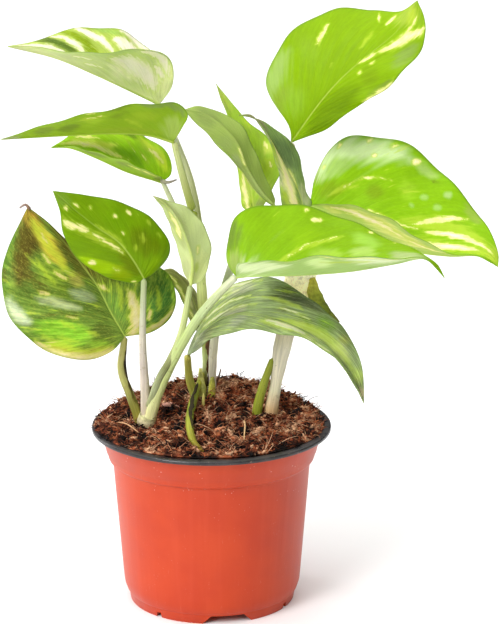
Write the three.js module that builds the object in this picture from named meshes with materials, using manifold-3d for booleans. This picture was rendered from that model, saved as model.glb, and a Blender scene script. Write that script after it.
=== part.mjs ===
// A potted pothos: three rooted shoots with fourteen variegated leaves, in a 12 cm two-colour plastic pot.
// Millimetres, +Z up. The origin is the middle of the pot's foot, at its standing surface. -Y is the front.
import * as THREE from "three";
import { mergeVertices } from "three/addons/utils/BufferGeometryUtils.js";
import Module from "manifold-3d";

const wasm = await Module();
wasm.setup();

// Driving dimensions of the pot
const POT_HEIGHT = 91;
const RIM_RADIUS = 60;
const LIP_DROP = 2;
const COLLAR_BOTTOM = 75;
const FOOT_RADIUS = 41.6;
const WALL = 1.2;
const FLOOR_UNDERSIDE = 4.6;
const POT_SIDES = 48;

// Driving dimensions of the plant
const BLADE_THICKNESS = 0.8;
const CLEARANCE = 0.32;
const SOIL_LEVEL = 89;
const SOIL_MOUTH = 53.5;
const SOIL_REACH = 59;

const GREEN = 0x6fa61d;
const PALE_GREEN = 0xb6cf8a;
const TERRACOTTA = 0xd4502f;
const SOIL_BROWN = 0x5b3423;

// Solids and geometries

function solidOf(geometry) {
  const bare = geometry.clone();
  bare.deleteAttribute("normal");
  bare.deleteAttribute("uv");
  const merged = mergeVertices(bare, 1e-4);
  return new wasm.Manifold(
    new wasm.Mesh({
      numProp: 3,
      vertProperties: new Float32Array(merged.attributes.position.array),
      triVerts: new Uint32Array(merged.index.array),
    }),
  );
}

function geometryOf(solid) {
  const mesh = solid.getMesh();
  const geometry = new THREE.BufferGeometry();
  geometry.setAttribute("position", new THREE.BufferAttribute(new Float32Array(mesh.vertProperties), 3));
  geometry.setIndex(new THREE.BufferAttribute(new Uint32Array(mesh.triVerts), 1));
  geometry.computeVertexNormals();
  return geometry;
}

function geometryFrom(points, triangles) {
  const geometry = new THREE.BufferGeometry().setFromPoints(points);
  geometry.setIndex(triangles.flat());
  return geometry;
}

function largestBody(solid) {
  const bodies = solid.decompose();
  return bodies.reduce((best, body) => (body.volume() > best.volume() ? body : best));
}

const mix = (a, b, share) => a + (b - a) * share;
const vector = (xyz) => new THREE.Vector3(...xyz);
const curveThrough = (points) => new THREE.CatmullRomCurve3(points.map(vector), false, "centripetal");

// A closed round rod along a smooth curve, whose radius runs from the first to the last of radii.
function rod(route, radii, { sides = 7, steps = 12, swell = 0 } = {}) {
  const curve = curveThrough(route);
  const frames = curve.computeFrenetFrames(steps, false);
  const points = [curve.getPointAt(0)];
  const triangles = [];
  for (let i = 0; i <= steps; i++) {
    const share = i / steps;
    const place = Math.min(share * (radii.length - 1), radii.length - 1 - 1e-9);
    const radius = mix(radii[Math.floor(place)], radii[Math.floor(place) + 1], place % 1) + swell;
    const centre = curve.getPointAt(share);
    for (let k = 0; k < sides; k++) {
      const angle = (2 * Math.PI * k) / sides;
      points.push(
        centre
          .clone()
          .addScaledVector(frames.normals[i], radius * Math.cos(angle))
          .addScaledVector(frames.binormals[i], radius * Math.sin(angle)),
      );
    }
  }
  points.push(curve.getPointAt(1));
  const last = points.length - 1;
  for (let k = 0; k < sides; k++) {
    const next = (k + 1) % sides;
    triangles.push([0, 1 + next, 1 + k], [last, last - sides + k, last - sides + next]);
    for (let i = 0; i < steps; i++) {
      const a = 1 + i * sides;
      const b = a + sides;
      triangles.push([a + k, a + next, b + next], [a + k, b + next, b + k]);
    }
  }
  return solidOf(geometryFrom(points, triangles));
}

// The pot: one thin shell, turned round Z. Its collar flares to a flat rim with a thin lip, and its floor
// stands on a ring with notches and on a boss in the middle.

function potProfile() {
  return [
    [0, 0],
    [10, 0],
    [12, FLOOR_UNDERSIDE],
    [FOOT_RADIUS - WALL, FLOOR_UNDERSIDE],
    [FOOT_RADIUS - WALL, 0],
    [FOOT_RADIUS, 0],
    [42.3, 4.8],
    [42.9, 5.3],
    [44.3, 9],
    [45, 15],
    [49.7, COLLAR_BOTTOM - 1.6],
    [51.8, COLLAR_BOTTOM],
    [53.6, 81.5],
    [55.4, POT_HEIGHT - 3.6],
    [57, POT_HEIGHT - LIP_DROP],
    [RIM_RADIUS, POT_HEIGHT - LIP_DROP],
    [RIM_RADIUS, POT_HEIGHT - 0.7],
    [RIM_RADIUS - 0.7, POT_HEIGHT],
    [55.6, POT_HEIGHT],
    [54.4, POT_HEIGHT - 1.4],
    [52.4, 81.8],
    [50.7, COLLAR_BOTTOM + 0.9],
    [48.5, COLLAR_BOTTOM - 1.2],
    [43.8, 15],
    [43.1, 9.6],
    [42, FLOOR_UNDERSIDE + WALL + 1.4],
    [40.4, FLOOR_UNDERSIDE + WALL],
    [13, FLOOR_UNDERSIDE + WALL],
    [11, WALL],
    [0, WALL],
  ].map(([r, z]) => new THREE.Vector2(r, z));
}

// A block that stands across the foot ring at a bearing, counted from the front towards +X. It widens
// downwards by flare on each side, from its width at height to the floor.
function footBlock(bearing, { width, height, flare }) {
  const block = new THREE.BoxGeometry(width, 8, 2 * height);
  const position = block.attributes.position;
  for (let i = 0; i < position.count; i++) {
    const side = Math.sign(position.getX(i));
    if (position.getZ(i) < 0) position.setX(i, side * (width / 2 + 2 * flare));
  }
  block.translate(0, -FOOT_RADIUS, 0);
  block.rotateZ(THREE.MathUtils.degToRad(bearing));
  return solidOf(block);
}

function drainHole(bearing) {
  const hole = new THREE.CylinderGeometry(DRAIN.radius, DRAIN.radius, 12, 10);
  hole.rotateX(Math.PI / 2);
  hole.translate(0, -DRAIN.reach, FLOOR_UNDERSIDE);
  hole.rotateZ(THREE.MathUtils.degToRad(bearing));
  return solidOf(hole);
}

const WIDE_NOTCH = { width: 16.5, height: 4.2, flare: 4.2 };
const SMALL_NOTCH = { width: 2.4, height: 2.6, flare: 0.4 };
const WIDE_NOTCH_BEARINGS = [10.5, 190.5];
const SMALL_NOTCH_TURN = 50;
const DRAIN = { radius: 3.2, reach: 30, turn: 60 };

function pot() {
  let shell = solidOf(new THREE.LatheGeometry(potProfile(), POT_SIDES).rotateX(Math.PI / 2));
  for (const bearing of WIDE_NOTCH_BEARINGS) {
    shell = shell.subtract(footBlock(bearing, WIDE_NOTCH));
    for (const turn of [-SMALL_NOTCH_TURN, SMALL_NOTCH_TURN]) {
      shell = shell.subtract(footBlock(bearing + turn, SMALL_NOTCH));
    }
    for (const turn of [-DRAIN.turn, 0, DRAIN.turn]) {
      shell = shell.subtract(drainHole(bearing + turn));
    }
  }
  return shell;
}

// The leaves. rib runs from the stalk's end to the drip tip. left and right are the margins between those two
// points, seen from above with the tip ahead.

const LEAVES = {
  leaf_top_left: {
    rib: [[-25, 36, 247], [-41, 34, 255], [-57, 31, 263], [-76, 26, 272], [-99, 20, 279]],
    left: [
      [-19, 34, 256], [-19, 28, 269], [-26, 24, 276], [-39, 20, 277], [-56, 18, 276],
      [-73, 18, 277], [-87, 19, 279],
    ],
    right: [
      [-22, 42, 253], [-24, 50, 261], [-30, 56, 270], [-41, 56, 279], [-56, 50, 283],
      [-72, 42, 283], [-85, 30, 280],
    ],
  },
  leaf_long_left: {
    rib: [[-18, 12, 233], [-30, 9, 237], [-48, 4, 239], [-73, -2, 239], [-101, -10, 239]],
    left: [
      [-14, 8, 240], [-11, 2, 249], [-17, -4, 255], [-34, -10, 256], [-54, -13, 253],
      [-75, -13, 248], [-90, -12, 243],
    ],
    right: [
      [-16, 18, 238], [-17, 24, 245], [-25, 27, 247], [-42, 24, 246], [-60, 16, 244],
      [-78, 6, 241], [-91, -4, 239],
    ],
  },
  leaf_mid_left: {
    rib: [[-24, 24, 210], [-41, 20, 216], [-56, 15, 224], [-69, 11, 230], [-78, 8, 231]],
    left: [[-25, 18, 214], [-31, 12, 218], [-41, 7, 224], [-55, 4, 229], [-67, 5, 232]],
    right: [
      [-20, 30, 212], [-20, 38, 218], [-26, 44, 224], [-36, 46, 230], [-51, 40, 234],
      [-65, 28, 235], [-73, 14, 233],
    ],
  },
  leaf_front_left: {
    rib: [
      [-33, -6, 168], [-38, -9, 178], [-45, -12, 188], [-55, -15, 196], [-65, -18, 205],
      [-76, -21, 216],
    ],
    left: [
      [-37, -6, 166], [-46, -9, 168], [-55, -14, 173], [-65, -19, 182], [-71, -22, 194],
      [-73, -22, 207],
    ],
    right: [
      [-28, -2, 170], [-21, 1, 177], [-21, 2, 185], [-29, 0, 197], [-45, -6, 207],
      [-61, -13, 212],
    ],
  },
  leaf_far_left: {
    rib: [[-43, 2, 136], [-50, 4, 148], [-56, 6, 160], [-65, 7, 173], [-77, 6, 189], [-90, 4, 202]],
    left: [
      [-49, -2, 130], [-59, -7, 127], [-72, -11, 129], [-87, -13, 137], [-99, -10, 150],
      [-103, -5, 166], [-100, 0, 182], [-94, 3, 194],
    ],
    right: [
      [-37, 5, 136], [-32, 7, 136], [-26, 10, 138], [-21, 12, 142], [-18, 14, 149], [-18, 16, 156],
      [-21, 17, 164], [-37, 18, 172], [-56, 15, 176], [-71, 11, 183], [-81, 7, 194],
    ],
  },
  leaf_small_pale: {
    rib: [[-10, -3, 164], [-9, -5, 176], [-12, -7, 188], [-16, -8, 198], [-22, -8, 206], [-28, -7, 210]],
    left: [
      [-5, -1, 165], [-2, 2, 170], [0, 4, 178], [-1, 4, 187], [-5, 3, 195], [-11, 1, 202],
      [-19, -3, 206],
    ],
    right: [[-13, -3, 169], [-16, -3, 181], [-19, -3, 191], [-23, -4, 202]],
  },
  leaf_narrow_back: {
    rib: [[-4, 27, 132], [-8, 28, 144], [-12, 28, 154], [-18, 28, 161], [-26, 27, 163]],
    left: [[-8, 23, 133], [-12, 22, 142], [-15, 22, 150], [-19, 22, 157], [-23, 24, 161]],
    right: [[-4, 32, 135], [-6, 34, 144], [-9, 35, 152], [-14, 34, 158], [-20, 31, 163]],
  },
  leaf_arched_centre: {
    rib: [
      [31, 8, 201], [25, 8, 208], [18, 8, 220], [13, 8, 233], [4, 8, 243], [-5, 10, 248],
      [-13, 11, 249],
    ],
    left: [
      [32, 12, 203], [29, 13, 210], [25, 14, 220], [20, 14, 232], [14, 14, 242], [4, 15, 247],
      [-5, 15, 250],
    ],
    right: [[25, 6, 206], [18, 4, 215], [12, 3, 224], [4, 3, 232], [-2, 4, 239], [-8, 7, 244]],
  },
  leaf_upright_back: {
    rib: [[22, 24, 194], [20, 25, 205], [18, 26, 218], [14, 26, 232], [9, 26, 246], [3, 25, 259]],
    left: [[16, 27, 196], [15, 29, 204], [13, 30, 217], [10, 30, 230], [8, 28, 244], [5, 26, 252]],
    right: [
      [26, 24, 197], [31, 22, 207], [35, 21, 216], [33, 21, 225], [27, 22, 234], [18, 23, 241],
      [13, 24, 247],
    ],
  },
  leaf_dark_centre: {
    rib: [[46, 6, 198], [44, 7, 207], [38, 8, 219], [31, 8, 231], [25, 8, 241], [20, 7, 247], [14, 7, 247]],
    left: [
      [39, 2, 198], [35, 0, 203], [34, 0, 213], [33, 0, 221], [30, 2, 231], [27, 4, 239],
      [22, 6, 245],
    ],
    right: [
      [50, 10, 202], [47, 12, 208], [46, 13, 214], [44, 14, 224], [40, 13, 232], [33, 12, 238],
      [25, 9, 244],
    ],
  },
  leaf_top_right: {
    rib: [[40, 18, 231], [55, 14, 253], [66, 11, 266], [78, 8, 277], [91, 5, 289], [100, 2, 304]],
    left: [
      [40, 21, 238], [37, 22, 244], [31, 24, 250], [28, 28, 259], [32, 32, 272], [45, 34, 287],
      [63, 32, 295], [79, 24, 296], [92, 12, 297],
    ],
    right: [
      [47, 16, 234], [57, 11, 239], [69, 4, 250], [85, -4, 262], [95, -6, 273], [102, -5, 282],
      [104, -3, 290], [103, 0, 297],
    ],
  },
  leaf_right: {
    rib: [
      [49, 10, 201], [66, 4, 194], [83, -4, 188], [98, -11, 183], [116, -18, 182], [131, -23, 183],
      [139, -27, 179],
    ],
    left: [
      [50, 14, 205], [52, 20, 213], [59, 26, 225], [69, 30, 231], [84, 31, 231], [101, 28, 226],
      [117, 20, 213], [129, 8, 201], [137, -6, 191], [140, -18, 183],
    ],
    right: [
      [59, 0, 204], [69, -8, 205], [81, -16, 203], [93, -24, 198], [105, -30, 191],
      [118, -34, 187], [130, -33, 185],
    ],
  },
  leaf_front_right: {
    rib: [
      [12, -36, 177], [24, -42, 179], [42, -48, 181], [66, -53, 184], [87, -55, 188],
      [101, -53, 190], [107, -52, 187], [111, -51, 180],
    ],
    left: [
      [8, -32, 183], [8, -28, 192], [11, -24, 202], [20, -20, 207], [34, -17, 208], [48, -16, 206],
      [63, -18, 202], [78, -24, 196], [92, -34, 192], [102, -44, 189],
    ],
    right: [
      [13, -46, 186], [24, -58, 190], [38, -66, 193], [56, -70, 196], [73, -70, 195],
      [89, -64, 193], [101, -58, 191],
    ],
  },
  leaf_drooping: {
    rib: [
      [-12, 6, 125], [-4, -4, 140], [10, -16, 152], [24, -27, 155], [38, -37, 153], [51, -46, 148],
      [61, -52, 139], [69, -56, 128], [73, -58, 120],
    ],
    left: [
      [-9, 10, 131], [-3, 8, 144], [5, 6, 156], [14, 2, 164], [25, -4, 168], [36, -11, 167],
      [50, -19, 160], [56, -28, 156], [63, -37, 153], [68, -45, 146], [72, -52, 137], [73, -56, 128],
    ],
    right: [
      [-9, -4, 129], [-2, -18, 139], [10, -32, 148], [24, -43, 152], [37, -52, 152],
      [49, -59, 150], [59, -63, 144], [65, -63, 135], [70, -61, 127],
    ],
  },
};

const MARGIN_STEPS = 13;
const ACROSS_STEPS = 3;
const RIB_LAG = 1.5;
const BULGE = 0.06;
const WAVE = 0.03;
const WAVES = 5;

function guidesOf({ rib, left, right }) {
  const [base, tip] = [rib[0], rib[rib.length - 1]];
  return {
    rib: curveThrough(rib),
    left: curveThrough([base, ...left, tip]),
    right: curveThrough([base, ...right, tip]),
  };
}

// A point of a leaf's middle surface: share runs from the base to the tip, and across from the rib to the
// margin. The blade arches up between the two, waves towards its margin, and can be larger by grow all round.
function bladePoint(guides, side, share, across, grow) {
  const ribShare = share ** RIB_LAG;
  const point = guides.rib.getPointAt(ribShare);
  const tangent = guides.rib.getTangentAt(ribShare);
  const out = guides[side].getPointAt(share).sub(point);
  const width = out.length();
  if (width < 1e-6) return point.addScaledVector(tangent, share < 0.5 ? -grow : grow);
  const up = side === "right" ? out.clone().cross(tangent) : tangent.clone().cross(out);
  const arch = BULGE * 4 * across * (1 - across);
  const wave = WAVE * across ** 2 * Math.sin(WAVES * 2 * Math.PI * share);
  return point
    .addScaledVector(out, across * (1 + grow / width))
    .addScaledVector(up.normalize(), width * (arch + wave));
}

// The middle surface: rows of points from the rib to the margin, on both sides, that share the rib
function bladeSheet(leaf, grow = 0) {
  const guides = guidesOf(leaf);
  const points = [];
  const triangles = [];
  const rib = [];
  for (let i = 0; i <= MARGIN_STEPS; i++) {
    rib.push(points.length);
    points.push(bladePoint(guides, "right", i / MARGIN_STEPS, 0, grow));
  }
  for (const side of ["right", "left"]) {
    const rows = rib.map((start, i) => {
      if (i === 0 || i === MARGIN_STEPS) return Array(ACROSS_STEPS + 1).fill(start);
      const row = [start];
      for (let j = 1; j <= ACROSS_STEPS; j++) {
        row.push(points.length);
        points.push(bladePoint(guides, side, i / MARGIN_STEPS, j / ACROSS_STEPS, grow));
      }
      return row;
    });
    for (let i = 0; i < MARGIN_STEPS; i++) {
      for (let j = 0; j < ACROSS_STEPS; j++) {
        const [a, b, c, d] = [rows[i][j], rows[i][j + 1], rows[i + 1][j + 1], rows[i + 1][j]];
        const pair = side === "right" ? [[a, b, c], [a, c, d]] : [[a, c, b], [a, d, c]];
        triangles.push(...pair.filter(([p, q, r]) => p !== q && q !== r && r !== p));
      }
    }
  }
  return { points, triangles };
}

// A closed solid of even thickness about a middle surface, split alike on both faces
function thicken({ points, triangles }, thickness) {
  const sheet = geometryFrom(points, triangles);
  sheet.computeVertexNormals();
  const normals = sheet.attributes.normal;
  const normalAt = (i) => new THREE.Vector3().fromBufferAttribute(normals, i);
  const offset = (sign) =>
    points.map((point, i) => point.clone().addScaledVector(normalAt(i), (sign * thickness) / 2));
  const count = points.length;
  const edges = new Map();
  for (const [a, b, c] of triangles) {
    for (const [p, q] of [[a, b], [b, c], [c, a]]) {
      if (!edges.delete(`${q},${p}`)) edges.set(`${p},${q}`, [p, q]);
    }
  }
  const walls = [...edges.values()].flatMap(([p, q]) => [
    [p, p + count, q + count],
    [p, q + count, q],
  ]);
  const under = triangles.map(([a, b, c]) => [a + count, c + count, b + count]);
  return solidOf(geometryFrom([...offset(1), ...offset(-1)], [...triangles, ...under, ...walls]));
}

// The shoots: each is a short stem with its leaf stalks, rooted in the soil. A stalk ends at its leaf's base.

const SHOOTS = {
  shoot_left: [
    { route: [[-33, 2, 74], [-33, 0, 90], [-32, -1, 97]], radii: [4, 4.4, 3.6] },
    {
      route: [[-33, 0, 90], [-33, -1, 104], [-34, -4, 136]],
      radii: [2.7, 2.4, 1.9, 1.6, 1.4],
      leaf: "leaf_front_left",
    },
    {
      route: [[-32, -1, 89], [-28, -4, 105], [-19, -12, 128], [-7, -21, 151], [1, -27, 163]],
      radii: [3.2, 2.8, 2.7, 2.4, 2.1, 1.8],
      leaf: "leaf_front_right",
    },
    {
      route: [[-31, -2, 100], [-26, -9, 117], [-20, -13, 129], [-15, -12, 141]],
      radii: [2.2, 1.9, 1.8, 1.6, 1.4],
      leaf: "leaf_small_pale",
    },
    {
      route: [[-35, 2, 78], [-37, 2, 94], [-41, 3, 106], [-45, 4, 118]],
      radii: [2.4, 2.4, 2, 1.6],
      leaf: "leaf_far_left",
    },
  ],
  shoot_centre: [
    {
      route: [[-3, 25, 76], [-2, 25, 100], [-2, 25, 122], [-4, 24, 143], [-5, 23, 159], [-9, 20, 196]],
      radii: [3.2, 2.8, 2.6, 2.2],
    },
    { route: [[-9, 20, 196], [-13, 18, 211]], radii: [2.2, 1.9, 1.5], leaf: "leaf_long_left" },
    {
      route: [[-4, 24, 143], [-5, 28, 179], [-10, 32, 209]],
      radii: [1.8, 1.6, 1.4],
      leaf: "leaf_top_left",
    },
    { route: [[-6, 23, 172], [-14, 24, 188]], radii: [1.6, 1.4, 1.2], leaf: "leaf_mid_left" },
    { route: [[-7, 22, 80], [-8, 21, 97], [-11, 16, 109]], radii: [2.2, 2.2, 1.7], leaf: "leaf_drooping" },
    { route: [[-3, 25, 104], [-2, 26, 118]], radii: [1.8, 1.4], leaf: "leaf_narrow_back" },
    {
      route: [[1, 25, 80], [0, 24, 96], [1, 22, 122], [4, 21, 144], [11, 22, 169]],
      radii: [2.4, 2.3, 2, 1.6],
      leaf: "leaf_upright_back",
    },
    {
      route: [[-4, 22, 111], [-7, 16, 105], [-10, 2, 99], [-11, -14, 95], [-9, -30, 92], [-4, -44, 91]],
      radii: [1.2, 2, 2, 1.8, 0.7],
    },
    { route: [[-3, 12, 80], [-4, 10, 94], [-4, 9, 104]], radii: [1.2, 1.2, 0.6] },
  ],
  shoot_right: [
    {
      route: [[30, 6, 74], [30, 5, 95], [32, 5, 108], [35, 5, 127], [38, 6, 140], [44, 8, 161]],
      radii: [3.8, 3.8, 2.8, 4.4, 5, 5],
    },
    { route: [[22, 4, 76], [23, 3, 97], [26, 3, 110], [31, 4, 124]], radii: [2.4, 2.6, 2.2, 1.6] },
    { route: [[44, 8, 161], [47, 8, 176]], radii: [4.6, 3, 2], leaf: "leaf_dark_centre" },
    { route: [[44, 8, 161], [38, 8, 184]], radii: [3, 2, 1.5], leaf: "leaf_arched_centre" },
    { route: [[45, 8, 164], [47, 16, 196], [43, 20, 219]], radii: [2.6, 1.8, 1.3], leaf: "leaf_top_right" },
    { route: [[45, 8, 164], [51, 10, 186]], radii: [3, 2.2, 1.8], leaf: "leaf_right" },
  ],
};

function stalkRoute(stalk) {
  return stalk.leaf ? [...stalk.route, LEAVES[stalk.leaf].rib[0]] : stalk.route;
}

function shoot(stalks, swell = 0) {
  return wasm.Manifold.union(stalks.map((stalk) => rod(stalkRoute(stalk), stalk.radii, { swell })));
}

// The soil: it fills the pot to a mound that is highest behind the middle, with a lumpy top, and lies out
// over the flat rim, furthest on the left, where it ends in a rounded shoulder.

const MOUND = { x: 5, y: 28, height: 12, spread: 26 };
const HEAP = { height: 3.2, from: 42, to: 54 };
const SPILL = { all: 0.6, left: 4.6, right: 2.6, back: 1.5 };
const SHOULDER = 8;
const BRINK = POT_HEIGHT + 0.9;

// How far the soil lies out over the rim in the direction of a point
function soilSpill(x, y) {
  const reach = Math.max(Math.hypot(x, y), 1);
  const aside = (x < 0 ? SPILL.left : SPILL.right) * (x / reach) ** 2;
  return SPILL.all + aside + SPILL.back * Math.max(0, y / reach) ** 3;
}

function soilTop(x, y) {
  const reach = Math.hypot(x, y);
  const off = Math.hypot(x - MOUND.x, y - MOUND.y) / MOUND.spread;
  const mound = MOUND.height * Math.exp(-(off ** 2) / 2);
  const lumps = Math.sin(x * 0.45 + 1.3) * Math.cos(y * 0.5) + 0.7 * Math.sin(x * 0.21 - y * 0.33 + 2);
  const heap = HEAP.height * THREE.MathUtils.smoothstep(reach, HEAP.from, HEAP.to);
  const crown = SOIL_LEVEL + mound + lumps + heap;
  const past = THREE.MathUtils.clamp(1 - (SOIL_MOUTH + soilSpill(x, y) - reach) / SHOULDER, 0, 1);
  const height = BRINK + (crown - BRINK) * Math.sqrt(1 - past ** 2);
  return reach > SOIL_MOUTH - SHOULDER / 2 ? Math.max(height, BRINK) : height;
}

function soilBody() {
  const inside = CLEARANCE + 0.1;
  const rings = [0, 10, 20, 30, 39, 46, 50, 53, 56];
  const profile = [
    [0, FLOOR_UNDERSIDE + WALL + inside],
    [40.2 - inside, FLOOR_UNDERSIDE + WALL + inside],
    [43.1 - inside, 10.2],
    [43.7 - inside, 15],
    [48.4 - inside, COLLAR_BOTTOM - 1.2],
    [50.6 - inside, COLLAR_BOTTOM + 1.1],
    [52.3 - inside, 81.8],
    [54.1 - inside, POT_HEIGHT - 2],
    [SOIL_MOUTH, POT_HEIGHT + CLEARANCE],
    [SOIL_REACH, POT_HEIGHT + CLEARANCE],
    [SOIL_REACH - 0.5, SOIL_LEVEL],
    ...rings.reverse().map((r) => [r, SOIL_LEVEL]),
  ].map(([r, z]) => new THREE.Vector2(r, z));
  const geometry = new THREE.LatheGeometry(profile, POT_SIDES).rotateX(Math.PI / 2);
  const position = geometry.attributes.position;
  for (let i = 0; i < position.count; i++) {
    const [x, y, z] = [position.getX(i), position.getY(i), position.getZ(i)];
    const reach = Math.hypot(x, y);
    if (reach > SOIL_MOUTH + 0.1) {
      const share = (reach - SOIL_MOUTH) / (SOIL_REACH - SOIL_MOUTH);
      const drawn = (SOIL_MOUTH + share * soilSpill(x, y)) / reach;
      position.setXY(i, x * drawn, y * drawn);
    }
    if (z === SOIL_LEVEL) position.setZ(i, soilTop(position.getX(i), position.getY(i)));
  }
  return solidOf(geometry);
}

// The assembly

function meshOf(name, solid, colour, roughness) {
  const material = new THREE.MeshStandardMaterial({ color: colour, roughness, metalness: 0 });
  const mesh = new THREE.Mesh(geometryOf(solid), material);
  mesh.name = name;
  return mesh;
}

const roomForBlades = wasm.Manifold.union(
  Object.values(LEAVES).map((leaf) => thicken(bladeSheet(leaf, CLEARANCE), BLADE_THICKNESS + 2 * CLEARANCE)),
);

const plant = new THREE.Group();
let soil = soilBody();
for (const [name, stalks] of Object.entries(SHOOTS)) {
  plant.add(meshOf(name, largestBody(shoot(stalks).subtract(roomForBlades)), PALE_GREEN, 0.5));
  soil = soil.subtract(shoot(stalks, CLEARANCE));
}
for (const [name, leaf] of Object.entries(LEAVES)) {
  plant.add(meshOf(name, thicken(bladeSheet(leaf), BLADE_THICKNESS), GREEN, 0.35));
}
plant.add(meshOf("soil", largestBody(soil), SOIL_BROWN, 1));
plant.add(meshOf("pot", pot(), TERRACOTTA, 0.45));

export default plant;
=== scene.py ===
"""The looks of a potted pothos: fourteen variegated leaves on stalks, coir soil and a two-colour pot."""

import math
import random

import bmesh
import bpy
import numpy as np
from mathutils import Euler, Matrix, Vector, noise


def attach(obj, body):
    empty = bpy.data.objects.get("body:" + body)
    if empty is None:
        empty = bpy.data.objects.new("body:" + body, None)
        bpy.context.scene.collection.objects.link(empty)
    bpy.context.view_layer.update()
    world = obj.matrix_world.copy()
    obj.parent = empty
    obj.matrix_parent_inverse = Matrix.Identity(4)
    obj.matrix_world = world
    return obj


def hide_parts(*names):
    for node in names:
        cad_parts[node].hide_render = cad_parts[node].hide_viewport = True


MM = 0.001
TURN = 2 * math.pi

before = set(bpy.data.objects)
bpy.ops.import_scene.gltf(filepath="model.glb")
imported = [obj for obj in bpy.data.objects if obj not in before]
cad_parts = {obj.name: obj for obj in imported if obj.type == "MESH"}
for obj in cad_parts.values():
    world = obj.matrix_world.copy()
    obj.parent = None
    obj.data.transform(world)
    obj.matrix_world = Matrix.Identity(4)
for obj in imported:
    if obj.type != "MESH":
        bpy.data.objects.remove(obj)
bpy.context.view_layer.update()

# Colours and curves


def linear(code):
    """The linear red, green and blue of a colour written as #rrggbb."""
    parts = [int(code[k : k + 2], 16) / 255 for k in (1, 3, 5)]
    return tuple(c / 12.92 if c <= 0.04045 else ((c + 0.055) / 1.055) ** 2.4 for c in parts)


def between(share, steps, rows):
    """Rows of values, one at each step, read at each share."""
    return np.stack([np.interp(share, steps, column) for column in np.transpose(rows)], -1)


def spread(share, values):
    """Values spread evenly from 0 to 1, read at each share."""
    return np.interp(share, np.linspace(0, 1, len(values)), values)


def blended(share, codes):
    """The colour at each share of a row of colours spread evenly from 0 to 1."""
    return between(share, np.linspace(0, 1, len(codes)), [linear(code) for code in codes])


def unit(vectors):
    return vectors / np.maximum(np.linalg.norm(vectors, axis=-1, keepdims=True), 1e-9)


def smooth(low, high, value):
    share = np.clip((value - low) / (high - low), 0, 1)
    return share * share * (3 - 2 * share)


def ridge(off, width):
    """A soft ridge: 1 on its line, and near 0 past twice its width."""
    return np.exp(-((off / width) ** 2))


class Curve:
    """A smooth curve through points in millimetres, read by its share of length."""

    def __init__(self, points):
        points = np.array(points, float)
        ends = np.vstack([2 * points[0] - points[1], points, 2 * points[-1] - points[-2]])
        samples = [points[:1]]
        for p0, p1, p2, p3 in zip(ends, ends[1:], ends[2:], ends[3:]):
            d0, d1, d2 = (math.sqrt(np.linalg.norm(b - a)) for a, b in ((p0, p1), (p1, p2), (p2, p3)))
            leave = ((p1 - p0) / d0 - (p2 - p0) / (d0 + d1) + (p2 - p1) / d1) * d1
            arrive = ((p2 - p1) / d1 - (p3 - p1) / (d1 + d2) + (p3 - p2) / d2) * d1
            t = np.linspace(0, 1, 33)[1:, None]
            square = 3 * (p2 - p1) - 2 * leave - arrive
            cube = 2 * (p1 - p2) + leave + arrive
            samples.append(p1 + leave * t + square * t**2 + cube * t**3)
        self.line = np.vstack(samples)
        self.reach = np.concatenate([[0], np.cumsum(np.linalg.norm(np.diff(self.line, axis=0), axis=1))])
        self.length = self.reach[-1]

    def at(self, share):
        return between(np.clip(share, 0, 1) * self.length, self.reach, self.line)

    def heading(self, share):
        return unit(self.at(share + 0.004) - self.at(share - 0.004))

    def steps(self, spacing, least):
        """Shares along the curve about a spacing apart."""
        return np.linspace(0, 1, max(least, round(self.length / spacing)) + 1)


# Meshes


def mesh_object(name, points, faces, attributes, materials):
    """A smooth mesh from points in millimetres, with a value for each point in every named attribute."""
    mesh = bpy.data.meshes.new(name)
    mesh.from_pydata((np.asarray(points) * MM).tolist(), [], [list(map(int, face)) for face in faces])
    for key, values in attributes.items():
        values = np.asarray(values, np.float32)
        kind = "FLOAT" if values.ndim == 1 else "FLOAT_VECTOR"
        layer = mesh.attributes.new(key, kind, "POINT")
        layer.data.foreach_set("value" if kind == "FLOAT" else "vector", values.ravel())
    mesh.polygons.foreach_set("use_smooth", [True] * len(mesh.polygons))
    for material in materials:
        mesh.materials.append(material)
    return placed(name, mesh)


def placed(name, data):
    """An object that shows some data, in the scene."""
    thing = bpy.data.objects.new(name, data)
    bpy.context.scene.collection.objects.link(thing)
    return thing


def weld(thing):
    """Merges points that lie together and drops faces that lose their area by it."""
    work = bmesh.new()
    work.from_mesh(thing.data)
    bmesh.ops.remove_doubles(work, verts=work.verts, dist=1e-6)
    bmesh.ops.recalc_face_normals(work, faces=work.faces)
    work.to_mesh(thing.data)
    work.free()


def settle(thing, nodes):
    """Puts a piece on the plant in place of its CAD nodes."""
    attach(thing, "root")
    if nodes:
        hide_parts(*nodes)


def tube_faces(rings, sides):
    """Faces of a tube through rings of points, closed at both ends."""
    faces = [list(range(sides))[::-1], [(rings - 1) * sides + k for k in range(sides)]]
    for i in range(rings - 1):
        for k in range(sides):
            after = (k + 1) % sides
            faces.append([i * sides + k, i * sides + after, (i + 1) * sides + after, (i + 1) * sides + k])
    return faces


def sheet_faces(rows, columns, end_walls=True):
    """Faces of a thin sheet: a grid of points, the same again on its other side, and walls between them."""
    total = rows * columns
    index = np.arange(total).reshape(rows, columns)
    a, b, c, d = index[:-1, :-1], index[:-1, 1:], index[1:, 1:], index[1:, :-1]
    faces = [np.stack([a, b, c, d], -1).reshape(-1, 4), np.stack([a, d, c, b], -1).reshape(-1, 4) + total]
    edges = [index[:, -1], index[::-1, 0]] + ([index[0], index[-1, ::-1]] if end_walls else [])
    for edge in edges:
        here, after = edge[:-1], edge[1:]
        faces.append(np.stack([after, here, here + total, after + total], -1))
    return np.vstack(faces)


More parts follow.
